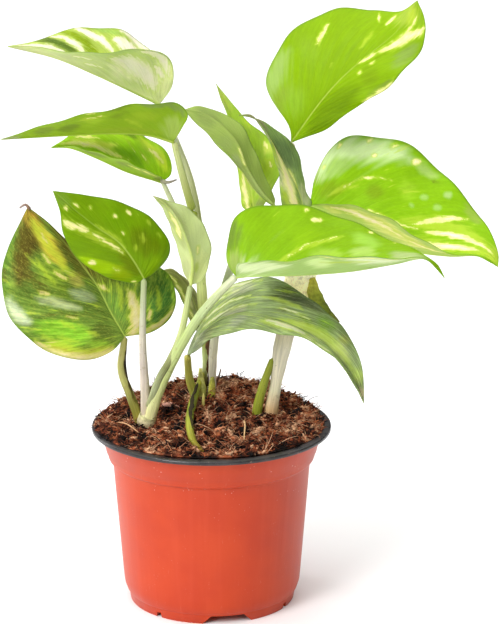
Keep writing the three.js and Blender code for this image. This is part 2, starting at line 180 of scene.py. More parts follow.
def lofted(rings, sides, downwards=False):
    """Points and faces of a solid through rings of points round Z, with a single point at each end."""
    starts = np.cumsum([0, *map(len, rings)])
    index = [start + np.arange(sides) % len(ring) for start, ring in zip(starts, rings)]
    faces = []
    for low, high in zip(index, index[1:]):
        next_low, next_high = np.roll(low, -1), np.roll(high, -1)
        corners = (low, high, next_high, next_low) if downwards else (low, next_low, next_high, high)
        faces += [list(dict.fromkeys(face)) for face in zip(*corners)]
    return np.vstack(rings), faces


def ring_at(radius, z, angle):
    """A ring of points round Z, or the single point on it."""
    if np.all(radius == 0):
        return np.array([(0.0, 0.0, z)])
    return np.stack(np.broadcast_arrays(radius * np.cos(angle), radius * np.sin(angle), z), -1)


class Shape:
    """Points, faces, a tint and a grain direction, gathered from many small forms into one mesh."""

    def __init__(self):
        self.points, self.faces, self.tints, self.grains = [], [], [], []
        self.count = 0

    def add(self, points, faces, tints, grains=(0, 0, 0)):
        self.faces.extend([[self.count + k for k in face] for face in faces])
        self.points.append(points)
        self.tints.append(np.broadcast_to(tints, (len(points), 3)))
        self.grains.append(np.broadcast_to(grains, (len(points), 3)))
        self.count += len(points)

    def build(self, name, material):
        attributes = {"tint": np.vstack(self.tints), "grain": np.vstack(self.grains)}
        return mesh_object(name, np.vstack(self.points), self.faces, attributes, [material])


# Material graphs


class Term:
    """A value or colour that changes over a surface, kept as the output of a material's node."""

    def __init__(self, graph, socket):
        self.graph, self.socket = graph, socket

    def __add__(self, other):
        return self.graph.math("ADD", self, other)

    def __sub__(self, other):
        return self.graph.math("SUBTRACT", self, other)

    def __mul__(self, other):
        return self.graph.math("MULTIPLY", self, other)

    def __abs__(self):
        return self.graph.math("ABSOLUTE", self)

    def step(self, low, high, start=0.0, end=1.0):
        """Start up to low, end from high on, and a smooth change between the two."""
        values = dict(enumerate((self, low, high, start, end)))
        return self.graph.node("MapRange", values, interpolation_type="SMOOTHSTEP")

    def towards(self, colour, share):
        """This colour mixed towards another by a share."""
        return self.graph.mix(share, self, colour)

    def shaded(self, factor):
        """This colour times a grey factor."""
        return self.graph.node("VectorMath", {0: self, "Scale": factor}, operation="SCALE")


class Graph:
    """A short way to write the nodes of a new material or world."""

    def __init__(self, name, blocks=bpy.data.materials, shader="Principled BSDF"):
        self.block = blocks.new(name)
        self.block.use_nodes = True
        self.tree = self.block.node_tree
        self.shader = self.tree.nodes[shader]

    def feed(self, socket, value):
        if isinstance(value, Term):
            self.tree.links.new(value.socket, socket)
        else:
            socket.default_value = (*linear(value), 1) if isinstance(value, str) else value

    def set(self, **values):
        for name, value in values.items():
            self.feed(self.shader.inputs[name.replace("_", " ")], value)

    def node(self, kind, values, output=0, **settings):
        """One output of a new node, whose inputs are fed by their number or name."""
        made = self.tree.nodes.new(f"ShaderNode{kind}")
        for key, value in settings.items():
            setattr(made, key, value)
        for key, value in values.items():
            self.feed(made.inputs[key], value)
        return Term(self, made.outputs[output])

    def attribute(self, name, output="Vector"):
        return self.node("Attribute", {}, output, attribute_name=name)

    def place(self):
        return self.node("TexCoord", {}, "Object")

    def split(self, vector):
        made = self.node("SeparateXYZ", {0: vector})
        return [Term(self, socket) for socket in made.socket.node.outputs]

    def join(self, x, y, z):
        return self.node("CombineXYZ", {0: x, 1: y, 2: z})

    def math(self, operation, a, b=0.0):
        return self.node("Math", {0: a, 1: b}, operation=operation)

    def most(self, first, *others):
        for other in others:
            first = self.math("MAXIMUM", first, other)
        return first

    def noise(self, vector, scale, detail=3.0, roughness=0.55):
        values = {"Vector": vector, "Scale": scale, "Detail": detail, "Roughness": roughness}
        return self.node("TexNoise", values, "Fac")

    def specks(self, vector, scale):
        return self.node("TexVoronoi", {"Vector": vector, "Scale": scale}, "Distance")

    def mix(self, share, a, b):
        return self.node("Mix", {0: share, 6: a, 7: b}, 2, data_type="RGBA")

    def bump(self, height, distance, strength):
        return self.node("Bump", {"Height": height, "Distance": distance, "Strength": strength}, "Normal")


# Leaf material

VEINS = 12
# The brown of dried tissue, also used for a painted shadow on leaf_far_left.
DRIED_AND_SHADE = "#57501c"
WITHERED = "#96907a"
# The dark green of painted shade along the margin.
MARGIN_SHADE = "#56721c"


class BladeGraph(Graph):
    """A leaf's two faces, painted by each point's lane among the side veins and its share across."""

    def __init__(self, name, look, seed):
        super().__init__(name)
        self.look, self.seed = look, float(seed)
        self.lane, self.across, self.from_rib = self.split(self.attribute("leaf"))
        self.under = self.attribute("under", "Fac")
        self.where = self.place()
        self.streaks = self.drawn_out(30.0, 3.0, 4.0, 0.6)
        self.threads = self.drawn_out(75.0, 5.0, 2.0)
        from_lane = abs(self.math("FRACT", self.lane * float(VEINS)) - 0.5)
        self.vein = from_lane.step(0.44, 0.5) * abs(self.across).step(0.95, 0.2)

    def drawn_out(self, along, sideways, detail, roughness=0.55):
        """Noise drawn out along the side veins."""
        lanes = self.join(self.lane * along, self.across * sideways, self.seed)
        return self.noise(lanes, 1.0, detail, roughness)

    def green(self):
        """The washed green with fine streaks and threads, duller below."""
        grain = self.look["grain"]
        broad = self.noise(self.where, 60.0)
        colour = self.attribute("wash").shaded(broad.step(0.3, 0.7, 1 - grain, 1 + grain))
        colour = colour.shaded(self.streaks.step(0.3, 0.7, 1 - 1.4 * grain, 1 + grain))
        colour = colour.shaded(self.threads.step(0.35, 0.65, 1 - grain, 1 + grain))
        colour = colour.towards(self.look["light"], self.threads.step(0.5, 0.75) * grain)
        return colour.towards(self.look["under"], self.under * 0.36)

    def marked(self, colour):
        """Lime, cream and brown in the strokes with ragged edges, and a sprinkle of cream between them."""
        look = self.look
        cream_paint, lime_paint, brown_paint = self.split(self.attribute("paint"))
        wander = self.noise(self.where, 300.0)
        ragged = (self.threads - 0.5) + (self.streaks - 0.5) * 3.2 + (wander - 0.5) * 2.0
        near_cream, near_lime = cream_paint + ragged, lime_paint + ragged
        halo = self.streaks.step(look["sprinkle"] - 0.08, look["sprinkle"])
        dots = self.streaks.step(look["sprinkle"], look["sprinkle"] + 0.07)
        lime = self.most(near_lime.step(-1.2, 1.0), halo, near_cream.step(-1.2, 0.3))
        cream = near_cream.step(-0.3, 0.6) * self.threads.step(0.3, 0.5, 0.88, 1.0)
        pale = self.mix(near_cream.step(0.6, 1.6), look["cream"], look["core"])
        mottle = (self.drawn_out(52.0, 11.0, 4.0, 0.65) - 0.5) * 10.0
        brown = (brown_paint + mottle).step(-1.2, 2.2)
        colour = colour.towards(look["lime"], lime * 0.6)
        colour = colour.towards(pale, self.most(cream, dots * 0.7) * 0.9)
        # Brown paints dried tissue, and in one stroke on leaf_far_left a painted shadow.
        return colour.towards(DRIED_AND_SHADE, brown * 0.75)

    def veined(self, colour):
        """Specks and pale side veins, a pale rib, a withered tip, and painted shade darkening the margin."""
        look = self.look
        speckle = self.drawn_out(110.0, 34.0, 2.0)
        colour = colour.towards(look["light"], speckle.step(0.5, 0.68) * look["speckle"])
        colour = colour.towards(DRIED_AND_SHADE, speckle.step(0.5, 0.32) * (0.8 * look["speckle"]))
        colour = colour.towards(look["light"], self.vein * 0.12)
        rib = self.from_rib.step(0.6, 0.25) * self.lane.step(0.9, 0.3, 0.15, 0.6)
        colour = colour.towards(look["rib"], rib)
        colour = colour.towards(WITHERED, self.lane.step(look["dry"], look["dry"] + 0.06, 0.0, 0.75))
        # Painted shade: the colour darkens at the margin.
        return colour.towards(MARGIN_SHADE, abs(self.across).step(0.95, 0.99) * 0.42)

    def finish(self):
        """Gloss in soft patches, fine relief, and light that passes through a little."""
        low_gloss = self.look["gloss"]
        gloss = self.noise(self.where, 160.0, 2.0).step(0.2, 0.8, low_gloss, low_gloss + 0.14)
        pores = self.noise(self.where, 2600.0, 1.0)
        height = self.threads * 0.5 + pores * 0.35 + self.streaks * 1.5 - self.vein * 0.5
        self.set(Roughness=gloss + self.under * 0.2, Normal=self.bump(height, 0.0002, 0.6))
        self.set(Specular_IOR_Level=self.look["shine"], Subsurface_Weight=0.12)
        self.set(Subsurface_Radius=(0.5, 1.0, 0.2), Subsurface_Scale=0.0015)


def blade_material(name, look, seed):
    g = BladeGraph(name, look, seed)
    g.set(Base_Color=g.veined(g.marked(g.green())))
    g.finish()
    return g.block


# Other materials

BLOTCH = "#8c7a4a"
SCAR = "#5b4426"
POT_REDS = ("#b2340e", "#bb3c12")
# The paler red of the drawing lines, also a painted sheen.
DRAWN_SHEEN_RED = "#cc5032"
SCUFF = "#d99a86"
PALE_DUST = "#e8d2c4"
RIM_BLACKS = ("#1c1a1c", "#3a3636")
SOIL_DUST = "#8a7262"
FLOOR_GREY = (0.9, 0.9, 0.9, 1)


def stalk_material(name):
    """Fleshy stalk: the tint of each point, drawn into fine lines along it, with small scars."""
    g = Graph(name)
    lines = g.noise(g.attribute("grain"), 1.0, 3.0, 0.6)
    colour = g.attribute("tint").shaded(lines.step(0.25, 0.75, 0.78, 1.16))
    colour = colour.towards(BLOTCH, g.noise(g.place(), 260.0).step(0.62, 0.72) * 0.35)
    colour = colour.towards(SCAR, g.noise(g.place(), 700.0, 2.0).step(0.7, 0.76) * 0.6)
    g.set(Base_Color=colour, Roughness=lines.step(0.2, 0.8, 0.32, 0.47), Normal=g.bump(lines, 0.0004, 0.4))
    g.set(Specular_IOR_Level=0.2, Subsurface_Weight=0.1)
    g.set(Subsurface_Radius=(0.8, 1.0, 0.4), Subsurface_Scale=0.002)
    return g.block


def matt_material(name, scale, contrast):
    """Dry matter such as coir, bark chips and papery sheaths: the tint of each point, mottled and rough."""
    g = Graph(name)
    mottle = g.noise(g.place(), scale, 4.0, 0.65)
    colour = g.attribute("tint").shaded(mottle.step(0.25, 0.75, 1 - contrast, 1 + contrast))
    g.set(Base_Color=colour, Roughness=mottle.step(0.2, 0.8, 0.78, 0.98), Normal=g.bump(mottle, 0.0008, 0.6))
    g.set(Specular_IOR_Level=0.25)
    return g.block


def pot_material():
    """Thin terracotta plastic: faint upright drawing lines whose paler red also paints upright bands of
    sheen, paler scuffs, and dust towards the rim.
    """
    g = Graph("pot_terracotta")
    place = g.place()
    x, y, z = g.split(place)
    bearing = g.math("ARCTAN2", y, x)
    drawn = g.noise(g.join(bearing * 9.0, z * 8.0, 0.0), 1.0)
    mottle = g.noise(place, 38.0)
    colour = g.mix(mottle.step(0.3, 0.7), *POT_REDS)
    # Paler red along the upright lines: drawing lines, and painted sheen.
    colour = colour.towards(DRAWN_SHEEN_RED, drawn.step(0.45, 0.8) * 0.2)
    scuff = g.noise(g.join(bearing * 40.0, z * 160.0, 2.0), 1.0).step(0.66, 0.8)
    colour = colour.towards(SCUFF, scuff * 0.14)
    sparse = g.noise(place, 90.0, 2.0).step(0.5, 0.62)
    near_rim = z.step(0.052, 0.084, 0.12, 1.0)
    dust = g.specks(place, 480.0).step(0.16, 0.1) * sparse * near_rim
    grain = drawn * 0.7 + g.noise(place, 900.0, 2.0) * 0.15
    g.set(Base_Color=colour.towards(PALE_DUST, dust * 0.55), Roughness=mottle.step(0.2, 0.8, 0.34, 0.44))
    g.set(Normal=g.bump(grain, 0.0005, 0.25), Specular_IOR_Level=0.32)
    return g.block


def rim_material():
    """Black plastic of the rim and the inside, greyed by handling, with soil dust on it."""
    g = Graph("pot_black")
    place = g.place()
    wear = g.noise(place, 120.0, 4.0, 0.6)
    colour = g.mix(wear.step(0.35, 0.75), *RIM_BLACKS)
    colour = colour.towards(SOIL_DUST, g.noise(place, 620.0).step(0.6, 0.72) * 0.45)
    g.set(Base_Color=colour, Roughness=wear.step(0.3, 0.8, 0.26, 0.44), Normal=g.bump(wear, 0.0006, 0.25))
    return g.block


def floor_material():
    g = Graph("floor")
    g.set(Base_Color=FLOOR_GREY, Roughness=0.6)
    return g.block


# Leaves. rib runs from the stalk's end to the drip tip, in millimetres. left and right are the margins
# between those points, seen from above with the tip ahead. cream, lime and brown are strokes. Each runs
# through places given in hundredths of the way from base to tip and from rib to margin (left below 0), and
# ends with its half width in millimetres. washes tint the green softly in the same way, and end with their
# colour. look holds what differs from COMMON_LOOK: colours, the strengths grain, speckle and shine, the
# least roughness (gloss), and where the sprinkle of dots and the dry tip begin.

LEAVES = {
    "leaf_top_left": dict(
        rib=[(-25, 36, 247), (-41, 34, 255), (-57, 31, 263), (-76, 26, 272), (-99, 20, 279)],
        left=[
            (-19, 34, 256), (-19, 28, 269), (-26, 24, 276), (-39, 20, 277), (-56, 18, 276), (-73, 18, 277),
            (-87, 19, 279),
        ],
        right=[
            (-22, 42, 253), (-24, 50, 261), (-30, 56, 270), (-41, 56, 279), (-56, 50, 283), (-72, 42, 283),
            (-85, 30, 280),
        ],
        cream=[
            ((95, 50), (88, 55), (80, 45), (71, 20), 1.6), ((79, 95), (72, 78), (66.5, 52), (60, 20), 1.5),
            ((66, 98), (60, 86), (53, 70), (48, 50), 2.4), ((47, 75), (40, 70), (30, 60), 4.4),
            ((44, 97), (36, 95), (26, 90), 2.2), ((52, -68), (38, -50), (20, -30), 5.4),
            ((40, -95), (30, -90), (18, -80), 2.2), ((30, -65), (20, -60), 1.6),
            ((64, -30), (56, -30), 0.8), ((70, -60), (62, -55), 0.7),
        ],
        lime=[((54, 40), (48, 30), 1.6)],
        washes=[
            ((96, 50), (88, 40), 2, "#b7b48e"),
            ((86, 100), (78.5, 72), (73.5, 46), (64, 10), 2.4, "#56701c"),
            ((72, 100), (64, 66), (58.5, 40), (52, 20), 2.6, "#88a010"),
            ((57, 97), (42, 88), 1.6, "#98b850"), ((42, 95), (30, 85), 2.5, "#d6d8b0"),
            ((90, -30), (60, -40), (50, -50), 5, "#b6c46c"),
            ((85, -95), (60, -92), (42, -95), 2.8, "#98b82c"), ((80, -50), (65, -55), 2.5, "#a0b060"),
            ((50, -45), (40, -40), (25, -40), 6, "#fff4dc"), ((28, -85), (12, -50), 5, "#e6ec9c"),
        ],
        look=dict(
            green="#aabe50", dry=0.86, light="#e0e6ac", under="#f4f2cc", sprinkle=0.7, grain=0.07,
            lime="#c6d468", cream="#f2ebd0", core="#f8ece2",
        ),
    ),
    "leaf_long_left": dict(
        rib=[(-18, 12, 233), (-30, 9, 237), (-48, 4, 239), (-73, -2, 239), (-101, -10, 239)],
        left=[
            (-14, 8, 240), (-11, 2, 249), (-17, -4, 255), (-34, -10, 256), (-54, -13, 253), (-75, -13, 248),
            (-90, -12, 243),
        ],
        right=[
            (-16, 18, 238), (-17, 24, 245), (-25, 27, 247), (-42, 24, 246), (-60, 16, 244), (-78, 6, 241),
            (-91, -4, 239),
        ],
        cream=[((65, -72), (61, -68), (57, -74), 0.5), ((63, -97), (60, -94), 0.4)],
        lime=[((66, -66), (56, -68), 1.1), ((45, -40), (35, -20), 1)],
        washes=[
            ((100, 0), (93, -30), 2.5, "#98a072"), ((85, -50), (78, -50), 3, "#6c8424"),
            ((75, -40), (68, -40), 3, "#5c7410"), ((63, -50), (57, -50), 3, "#9cbc24"),
            ((52, -60), (46, -60), 3, "#748e10"), ((42, -50), (30, -50), 4, "#98b41c"),
            ((22, -50), (10, -30), 5, "#a6bc5c"), ((42, -96), (30, -92), (18, -85), 2.5, "#74884a"),
            ((55, -95), (45, -95), 2.5, "#6e8816"), ((60, -10), (20, -10), 1.6, "#8ba51c"),
        ],
        look=dict(green="#84a80c", dry=0.91, light="#a0c038", under="#90ac38", sprinkle=0.8),
    ),
    "leaf_mid_left": dict(
        rib=[(-24, 24, 210), (-41, 20, 216), (-56, 15, 224), (-69, 11, 230), (-78, 8, 231)],
        left=[(-25, 18, 214), (-31, 12, 218), (-41, 7, 224), (-55, 4, 229), (-67, 5, 232)],
        right=[
            (-20, 30, 212), (-20, 38, 218), (-26, 44, 224), (-36, 46, 230), (-51, 40, 234), (-65, 28, 235),
            (-73, 14, 233),
        ],
        cream=[
            ((94, 42), (78, 38), (64, 30), (46, 22), 2), ((83, 75), (74, 70), (66, 60), 1),
            ((50, 75), (46, 60), (42, 45), 0.35), ((33, 70), (28, 64), (20, 60), 1.5),
            ((46, -50), (30, -55), (15, -50), 0.7), ((37, 45), (33, 35), 0.5),
        ],
        lime=[
            ((85, 60), (70, 50), (52, 26), 2.6), ((40, 85), (35, 70), (20, 60), 3),
            ((38, 50), (30, 30), 1.2),
        ],
        washes=[
            ((92, 30), (80, 45), (65, 40), (55, 50), 2.4, "#e4ee60"),
            ((55, 40), (45, 30), (30, 15), 3, "#84b40c"), ((50, 85), (42, 80), 2, "#70901f"),
            ((38, 85), (28, 70), (15, 55), 3, "#d4e838"), ((75, 70), (60, 75), 2, "#9cc820"),
            ((80, -50), (60, -50), 3, "#74902a"), ((52, -50), (42, -50), 3, "#80983a"),
            ((32, -50), (22, -50), 3, "#a4b94e"), ((15, -50), (8, -40), 2.5, "#93a83c"),
        ],
        look=dict(
            green="#9cca10", light="#c8e050", under="#98ac58", sprinkle=0.7, grain=0.07, cream="#ecea88",
            core="#f0e4b4",
        ),
    ),
    "leaf_front_left": dict(
        rib=[
            (-33, -6, 168), (-38, -9, 178), (-45, -12, 188), (-55, -15, 196), (-65, -18, 205),
            (-76, -21, 216),
        ],
        left=[
            (-37, -6, 166), (-46, -9, 168), (-55, -14, 173), (-65, -19, 182), (-71, -22, 194),
            (-73, -22, 207),
        ],
        right=[
            (-28, -2, 170), (-21, 1, 177), (-21, 2, 185), (-29, 0, 197), (-45, -6, 207), (-61, -13, 212),
        ],
        cream=[
            ((80, -85), (74, -55), (68, -30), 1.7), ((66, -25), (54, -20), (42, -10), 0.6),
            ((45.5, -86), (44, -80), 1.1), ((33, -58), (28, -55), 0.3), ((62, 56), (61, 53), 0.9),
            ((56, 83), (54, 81), 0.7), ((53, 26), (51, 24), 0.3), ((88, -50), (87, -42), 0.8),
            ((87, 30), (83, 25), 0.3), ((78, 55), (76, 50), 0.2), ((10, -80), (8, -70), 0.5),
        ],
        lime=[
            ((82, -90), (72, -45), (58, -20), (42, -10), 2), ((70, 6), (55, 5), (44, 3), 0.6),
            ((42, 54), (36, 45), 0.9), ((39, 25), (37, 20), 0.7), ((34, 88), (32, 86), 0.8),
            ((43, 88), (41, 86), 0.5),
        ],
        washes=[
            ((97, 0), (89, 0), 3, "#74962a"), ((50, -90), (40, -80), (30, -60), 3.5, "#94b905"),
            ((30, -60), (20, -50), 4, "#86a005"), ((45, -15), (30, -15), (15, -10), 2.5, "#667c04"),
            ((45, 40), (35, 45), (28, 70), 5, "#627a03"), ((20, 50), (10, 40), 4, "#7a9d04"),
            ((65, 50), (55, 50), 5, "#6a9205"),
        ],
        look=dict(green="#6c9006", light="#9cb42c", under="#93a552", sprinkle=0.74),
    ),
    "leaf_far_left": dict(
        rib=[(-43, 2, 136), (-50, 4, 148), (-56, 6, 160), (-65, 7, 173), (-77, 6, 189), (-90, 4, 202)],
        left=[
            (-49, -2, 130), (-59, -7, 127), (-72, -11, 129), (-87, -13, 137), (-99, -10, 150),
            (-103, -5, 166), (-100, 0, 182), (-94, 3, 194),
        ],
        right=[
            (-37, 5, 136), (-32, 7, 136), (-26, 10, 138), (-21, 12, 142), (-18, 14, 149), (-18, 16, 156),
            (-21, 17, 164), (-37, 18, 172), (-56, 15, 176), (-71, 11, 183), (-81, 7, 194),
        ],
        cream=[
            ((42, -98), (30, -96), (20, -95), (8, -85), 1.9), ((40, 36), (30, 34), (16, 36), (6, 40), 3.4),
            ((11, 70), (17, 88), (25, 96), 1.7), ((26, 56), (20, 58), 1), ((76, -40), (70, -34), 0.8),
            ((66, -34), (60, -26), 1), ((60, -60), (57, -52), 0.9), ((50, 4), (44, 12), 1),
            ((86, -30), (80, -26), 0.6), ((44, -50), (40, -42), 0.5),
        ],
        lime=[
            ((96, -50), (86, -32), (72, -22), (60, -18), 2.2), ((42, -86), (28, -82), (12, -70), 1.6),
            ((35, 75), (25, 70), 1.2), ((45, 30), (30, 15), 1.2), ((74, -50), (60, -40), 0.8),
            ((44, -60), (36, -54), 0.7), ((38, -76), (30, -68), 0.8), ((32, -46), (24, -40), 0.8),
        ],
        brown=[
            ((97, -60), (88, -70), (78, -70), 2.2), ((90, -80), (77, -74), (66, -62), (58, -50), 3),
            # The brown stroke from (85, 30) to (50, 15) is a painted shadow cast by leaf_front_left.
            ((76, -100), (68, -95), 2), ((85, 30), (70, 25), (50, 15), 5), ((100, 0), (96, 0), 2),
            ((50, -72), (42, -40), (36, -20), 0.5), ((64, -10), (56, -6), 2.4),
        ],
        washes=[
            ((100, 0), (90, -50), (78, -68), (66, -80), 5.5, "#5a4c1c"),
            # The dark wash #54501c from (86, 20) to (50, 30) is a painted shadow cast by leaf_front_left.
            ((86, 20), (70, 30), (50, 30), 6, "#54501c"), ((97, -50), (92, -42), 3, "#c8983c"),
            ((93, -30), (80, -26), (66, -20), 3, "#ccb43c"), ((60, -20), (55, -16), 3, "#b0ac50"),
            ((87, -98), (74, -98), (64, -98), 3, "#628430"),
            ((72, -50), (62, -40), (52, -30), 5, "#74902c"),
            # The pale grey-green washes #b8c49c, #a8b480 and #98a878 are the leaf's green with a silvery
            # sheen painted into it.
            ((62, -97), (55, -92), (49, -86), 3, "#b8c49c"),
            ((58, -66), (52, -50), (44, -30), 2, "#a8b480"), ((54, -30), (44, -12), 3, "#98a878"),
            ((47, -80), (38, -65), (28, -50), 6, "#84bc30"), ((36, -90), (24, -85), 3, "#98bc30"),
            ((30, -30), (16, -35), 5, "#586c28"), ((24, -62), (14, -60), 3, "#7a9c2c"),
            ((36, -92), (20, -86), (10, -72), 2, "#b4a83c"),
            ((38, -100), (20, -98), (8, -90), 2.4, "#e8bc9c"), ((55, 15), (45, 15), 3, "#6e8a28"),
            ((40, 10), (24, 10), 3, "#5e8430"), ((36, 80), (25, 85), (15, 80), 8, "#4a7832"),
            ((35, 97), (25, 100), 1.6, "#98b840"),
        ],
        look=dict(
            green="#648030", light="#bcb848", under="#8fa052", sprinkle=0.66, grain=0.2, speckle=0.22,
            cream="#d0c478", core="#dccca0",
        ),
    ),
    "leaf_small_pale": dict(
        rib=[(-10, -3, 164), (-9, -5, 176), (-12, -7, 188), (-16, -8, 198), (-22, -8, 206), (-28, -7, 210)],
        left=[
            (-5, -1, 165), (-2, 2, 170), (0, 4, 178), (-1, 4, 187), (-5, 3, 195), (-11, 1, 202),
            (-19, -3, 206),
        ],
        right=[(-13, -3, 169), (-16, -3, 181), (-19, -3, 191), (-23, -4, 202)],
        cream=[((80, 50), (68, 40), (56, 50), 1.5), ((44, -40), (40, -38), 0.9)],
        lime=[((30, -28), (24, -22), 1.4)],
        washes=[
            ((97, 0), (88, -10), 3, "#8f9c47"), ((75, -40), (60, -40), 5, "#cad88a"),
            ((35, -40), (10, -30), 6, "#ecf2a4"), ((85, 50), (50, 50), 4, "#a2aa6a"),
            ((30, 50), (15, 50), 3.5, "#b3b982"),
        ],
        look=dict(green="#c4d08e", light="#d4dea0", under="#b8c486", sprinkle=0.8, shine=0.15),
    ),
    "leaf_narrow_back": dict(
        rib=[(-4, 27, 132), (-8, 28, 144), (-12, 28, 154), (-18, 28, 161), (-26, 27, 163)],
        left=[(-8, 23, 133), (-12, 22, 142), (-15, 22, 150), (-19, 22, 157), (-23, 24, 161)],
        right=[(-4, 32, 135), (-6, 34, 144), (-9, 35, 152), (-14, 34, 158), (-20, 31, 163)],
        cream=[((92, -60), (70, -75), (45, -75), (20, -60), 0.9)],
        brown=[((90, 40), (70, 30), (40, 30), 1.2)],
        washes=[
            ((90, -40), (75, -50), 2, "#7e8144"), ((55, -50), (45, -50), 1.5, "#d0d090"),
            ((35, -50), 2, "#9a9c70"), ((55, 40), (30, 40), 2, "#90955a"),
        ],
        look=dict(green="#8c9150", light="#b0b478", under="#a2a070", sprinkle=0.74),
    ),
    "leaf_arched_centre": dict(
        rib=[
            (31, 8, 201), (25, 8, 208), (18, 8, 220), (13, 8, 233), (4, 8, 243), (-5, 10, 248),
            (-13, 11, 249),
        ],
        left=[
            (32, 12, 203), (29, 13, 210), (25, 14, 220), (20, 14, 232), (14, 14, 242), (4, 15, 247),
            (-5, 15, 250),
        ],
        right=[(25, 6, 206), (18, 4, 215), (12, 3, 224), (4, 3, 232), (-2, 4, 239), (-8, 7, 244)],
        cream=[((62, 6), (50, 5), 0.5), ((40, 96), (20, 90), 0.5)],
        washes=[
            ((90, -30), (80, -50), 5, "#74883c"), ((15, 60), (40, 50), 4, "#acba72"),
            ((50, 50), 3, "#9aa86c"), ((65, 50), 3.5, "#849848"), ((85, 40), 4, "#6c7e34"),
        ],
        look=dict(
            green="#8ca244", light="#b4c47c", under="#9aac60", sprinkle=0.82, shine=0.12, rib="#a0b060",
        ),
    ),
    "leaf_upright_back": dict(
        rib=[(22, 24, 194), (20, 25, 205), (18, 26, 218), (14, 26, 232), (9, 26, 246), (3, 25, 259)],
        left=[(16, 27, 196), (15, 29, 204), (13, 30, 217), (10, 30, 230), (8, 28, 244), (5, 26, 252)],
        right=[
            (26, 24, 197), (31, 22, 207), (35, 21, 216), (33, 21, 225), (27, 22, 234), (18, 23, 241),
            (13, 24, 247),
        ],
        cream=[((8, -50), (20, -50), (40, -40), 1.6), ((42, 72), (38, 75), 0.8), ((54, 84), (50, 84), 0.8)],
        lime=[
            ((95, 30), (84, 50), 0.8), ((74, 90), (66, 85), 0.9), ((8, -40), (30, -40), (60, -30), 3.2),
            ((45, 70), (36, 75), 1.6),
        ],
        washes=[
            ((10, 50), 3, "#92a256"), ((25, 50), 4, "#b6c858"), ((40, 50), 4, "#96b226"),
            ((50, 85), 2.5, "#c0cc58"), ((60, 50), 4, "#a2c434"), ((70, 50), 3, "#94b238"),
            ((85, 30), (100, 0), 3, "#a0b456"), ((35, -40), (20, -40), 3, "#acba70"),
            ((50, -40), 3, "#92ac42"), ((10, -40), 3, "#6c8232"),
        ],
        look=dict(green="#98b838", light="#c8dc68", under="#a8bc68", sprinkle=0.7),
    ),
    "leaf_dark_centre": dict(
        rib=[
            (46, 6, 198), (44, 7, 207), (38, 8, 219), (31, 8, 231), (25, 8, 241), (20, 7, 247),
            (14, 7, 247),
        ],
        left=[
            (39, 2, 198), (35, 0, 203), (34, 0, 213), (33, 0, 221), (30, 2, 231), (27, 4, 239),
            (22, 6, 245),
        ],
        right=[
            (50, 10, 202), (47, 12, 208), (46, 13, 214), (44, 14, 224), (40, 13, 232), (33, 12, 238),
            (25, 9, 244),
        ],
        cream=[((72, -40), (55, -50), (40, -50), (22, -40), (10, -40), 2.4), ((50, 3), (36, 6), 0.5)],
        lime=[((74, -50), (62, -80), (50, -90), 1.8), ((35, -80), (15, -70), 1.6)],
        brown=[((100, 0), (93, 0), (87, 0), 1.5)],
        washes=[
            ((25, -50), (40, -50), (62, -50), 4, "#dcd8a4"), ((20, -80), (35, -90), 2, "#8fa840"),
            ((70, -80), (80, -50), 2, "#a8ac7c"), ((15, 40), (30, 40), 3, "#a8b07c"),
            ((45, 50), (70, 40), 4, "#5d7442"), ((80, 30), (95, 0), 2, "#83835c"),
        ],
        look=dict(
            green="#76904c", light="#a0b068", under="#a4b070", sprinkle=0.78, grain=0.12, shine=0.2,
            core="#ecdcb0",
        ),
    ),
    "leaf_top_right": dict(
        rib=[(40, 18, 231), (55, 14, 253), (66, 11, 266), (78, 8, 277), (91, 5, 289), (100, 2, 304)],
        left=[
            (40, 21, 238), (37, 22, 244), (31, 24, 250), (28, 28, 259), (32, 32, 272), (45, 34, 287),
            (63, 32, 295), (79, 24, 296), (92, 12, 297),
        ],
        right=[
            (47, 16, 234), (57, 11, 239), (69, 4, 250), (85, -4, 262), (95, -6, 273), (102, -5, 282),
            (104, -3, 290), (103, 0, 297),
        ],
        cream=[
            ((52, -60), (56, -70), (59.5, -80), 1.1), ((67, 0), (75, 15), 1),
            ((75, 15), (83, 50), (87, 97), 2), ((85, 42), (93, 60), 0.5), ((80, -90), (80, -60), 0.5),
            ((83, -45), (88, -72), 0.7), ((62, 26), (61, 24), 0.6), ((69, 30), (67, 28), 0.5),
            ((42, 97), (50, 96), (60, 98), 0.7),
        ],
        lime=[((70, -20), (77, -38), 0.5), ((56, -26), (54, -22), 0.5), ((90, 30), (97, 30), 2)],
        washes=[
            # The pale wash #8eaa50 along the left lobe's margin is a painted sheen.
            ((15, -90), (28, -85), (40, -85), 5, "#8eaa50"), ((30, -55), (20, -60), 4, "#7e9a28"),
            ((35, -35), (25, -25), 5, "#80a422"), ((50, -65), 5, "#7c9e12"),
            ((20, 40), (35, 50), (50, 50), 6, "#668602"), ((60, 50), 4, "#74940a"),
            ((68, 75), (80, 80), 3, "#7c9838"), ((60, 90), (45, 95), 2, "#748c2c"),
            ((90, -40), (97, 0), 5, "#98b038"),
        ],
        look=dict(green="#7a9e05", light="#96b41e", under="#94ac48", sprinkle=0.77),
    ),
    "leaf_right": dict(
        rib=[
            (49, 10, 201), (66, 4, 194), (83, -4, 188), (98, -11, 183), (116, -18, 182), (131, -23, 183),
            (139, -27, 179),
        ],
        left=[
            (50, 14, 205), (52, 20, 213), (59, 26, 225), (69, 30, 231), (84, 31, 231), (101, 28, 226),
            (117, 20, 213), (129, 8, 201), (137, -6, 191), (140, -18, 183),
        ],
        right=[
            (59, 0, 204), (69, -8, 205), (81, -16, 203), (93, -24, 198), (105, -30, 191), (118, -34, 187),
            (130, -33, 185),
        ],
        cream=[
            ((24, -94), (23.5, -90), 0.9), ((34, -98), (33, -93), 1), ((43, -95), (41, -88), 1),
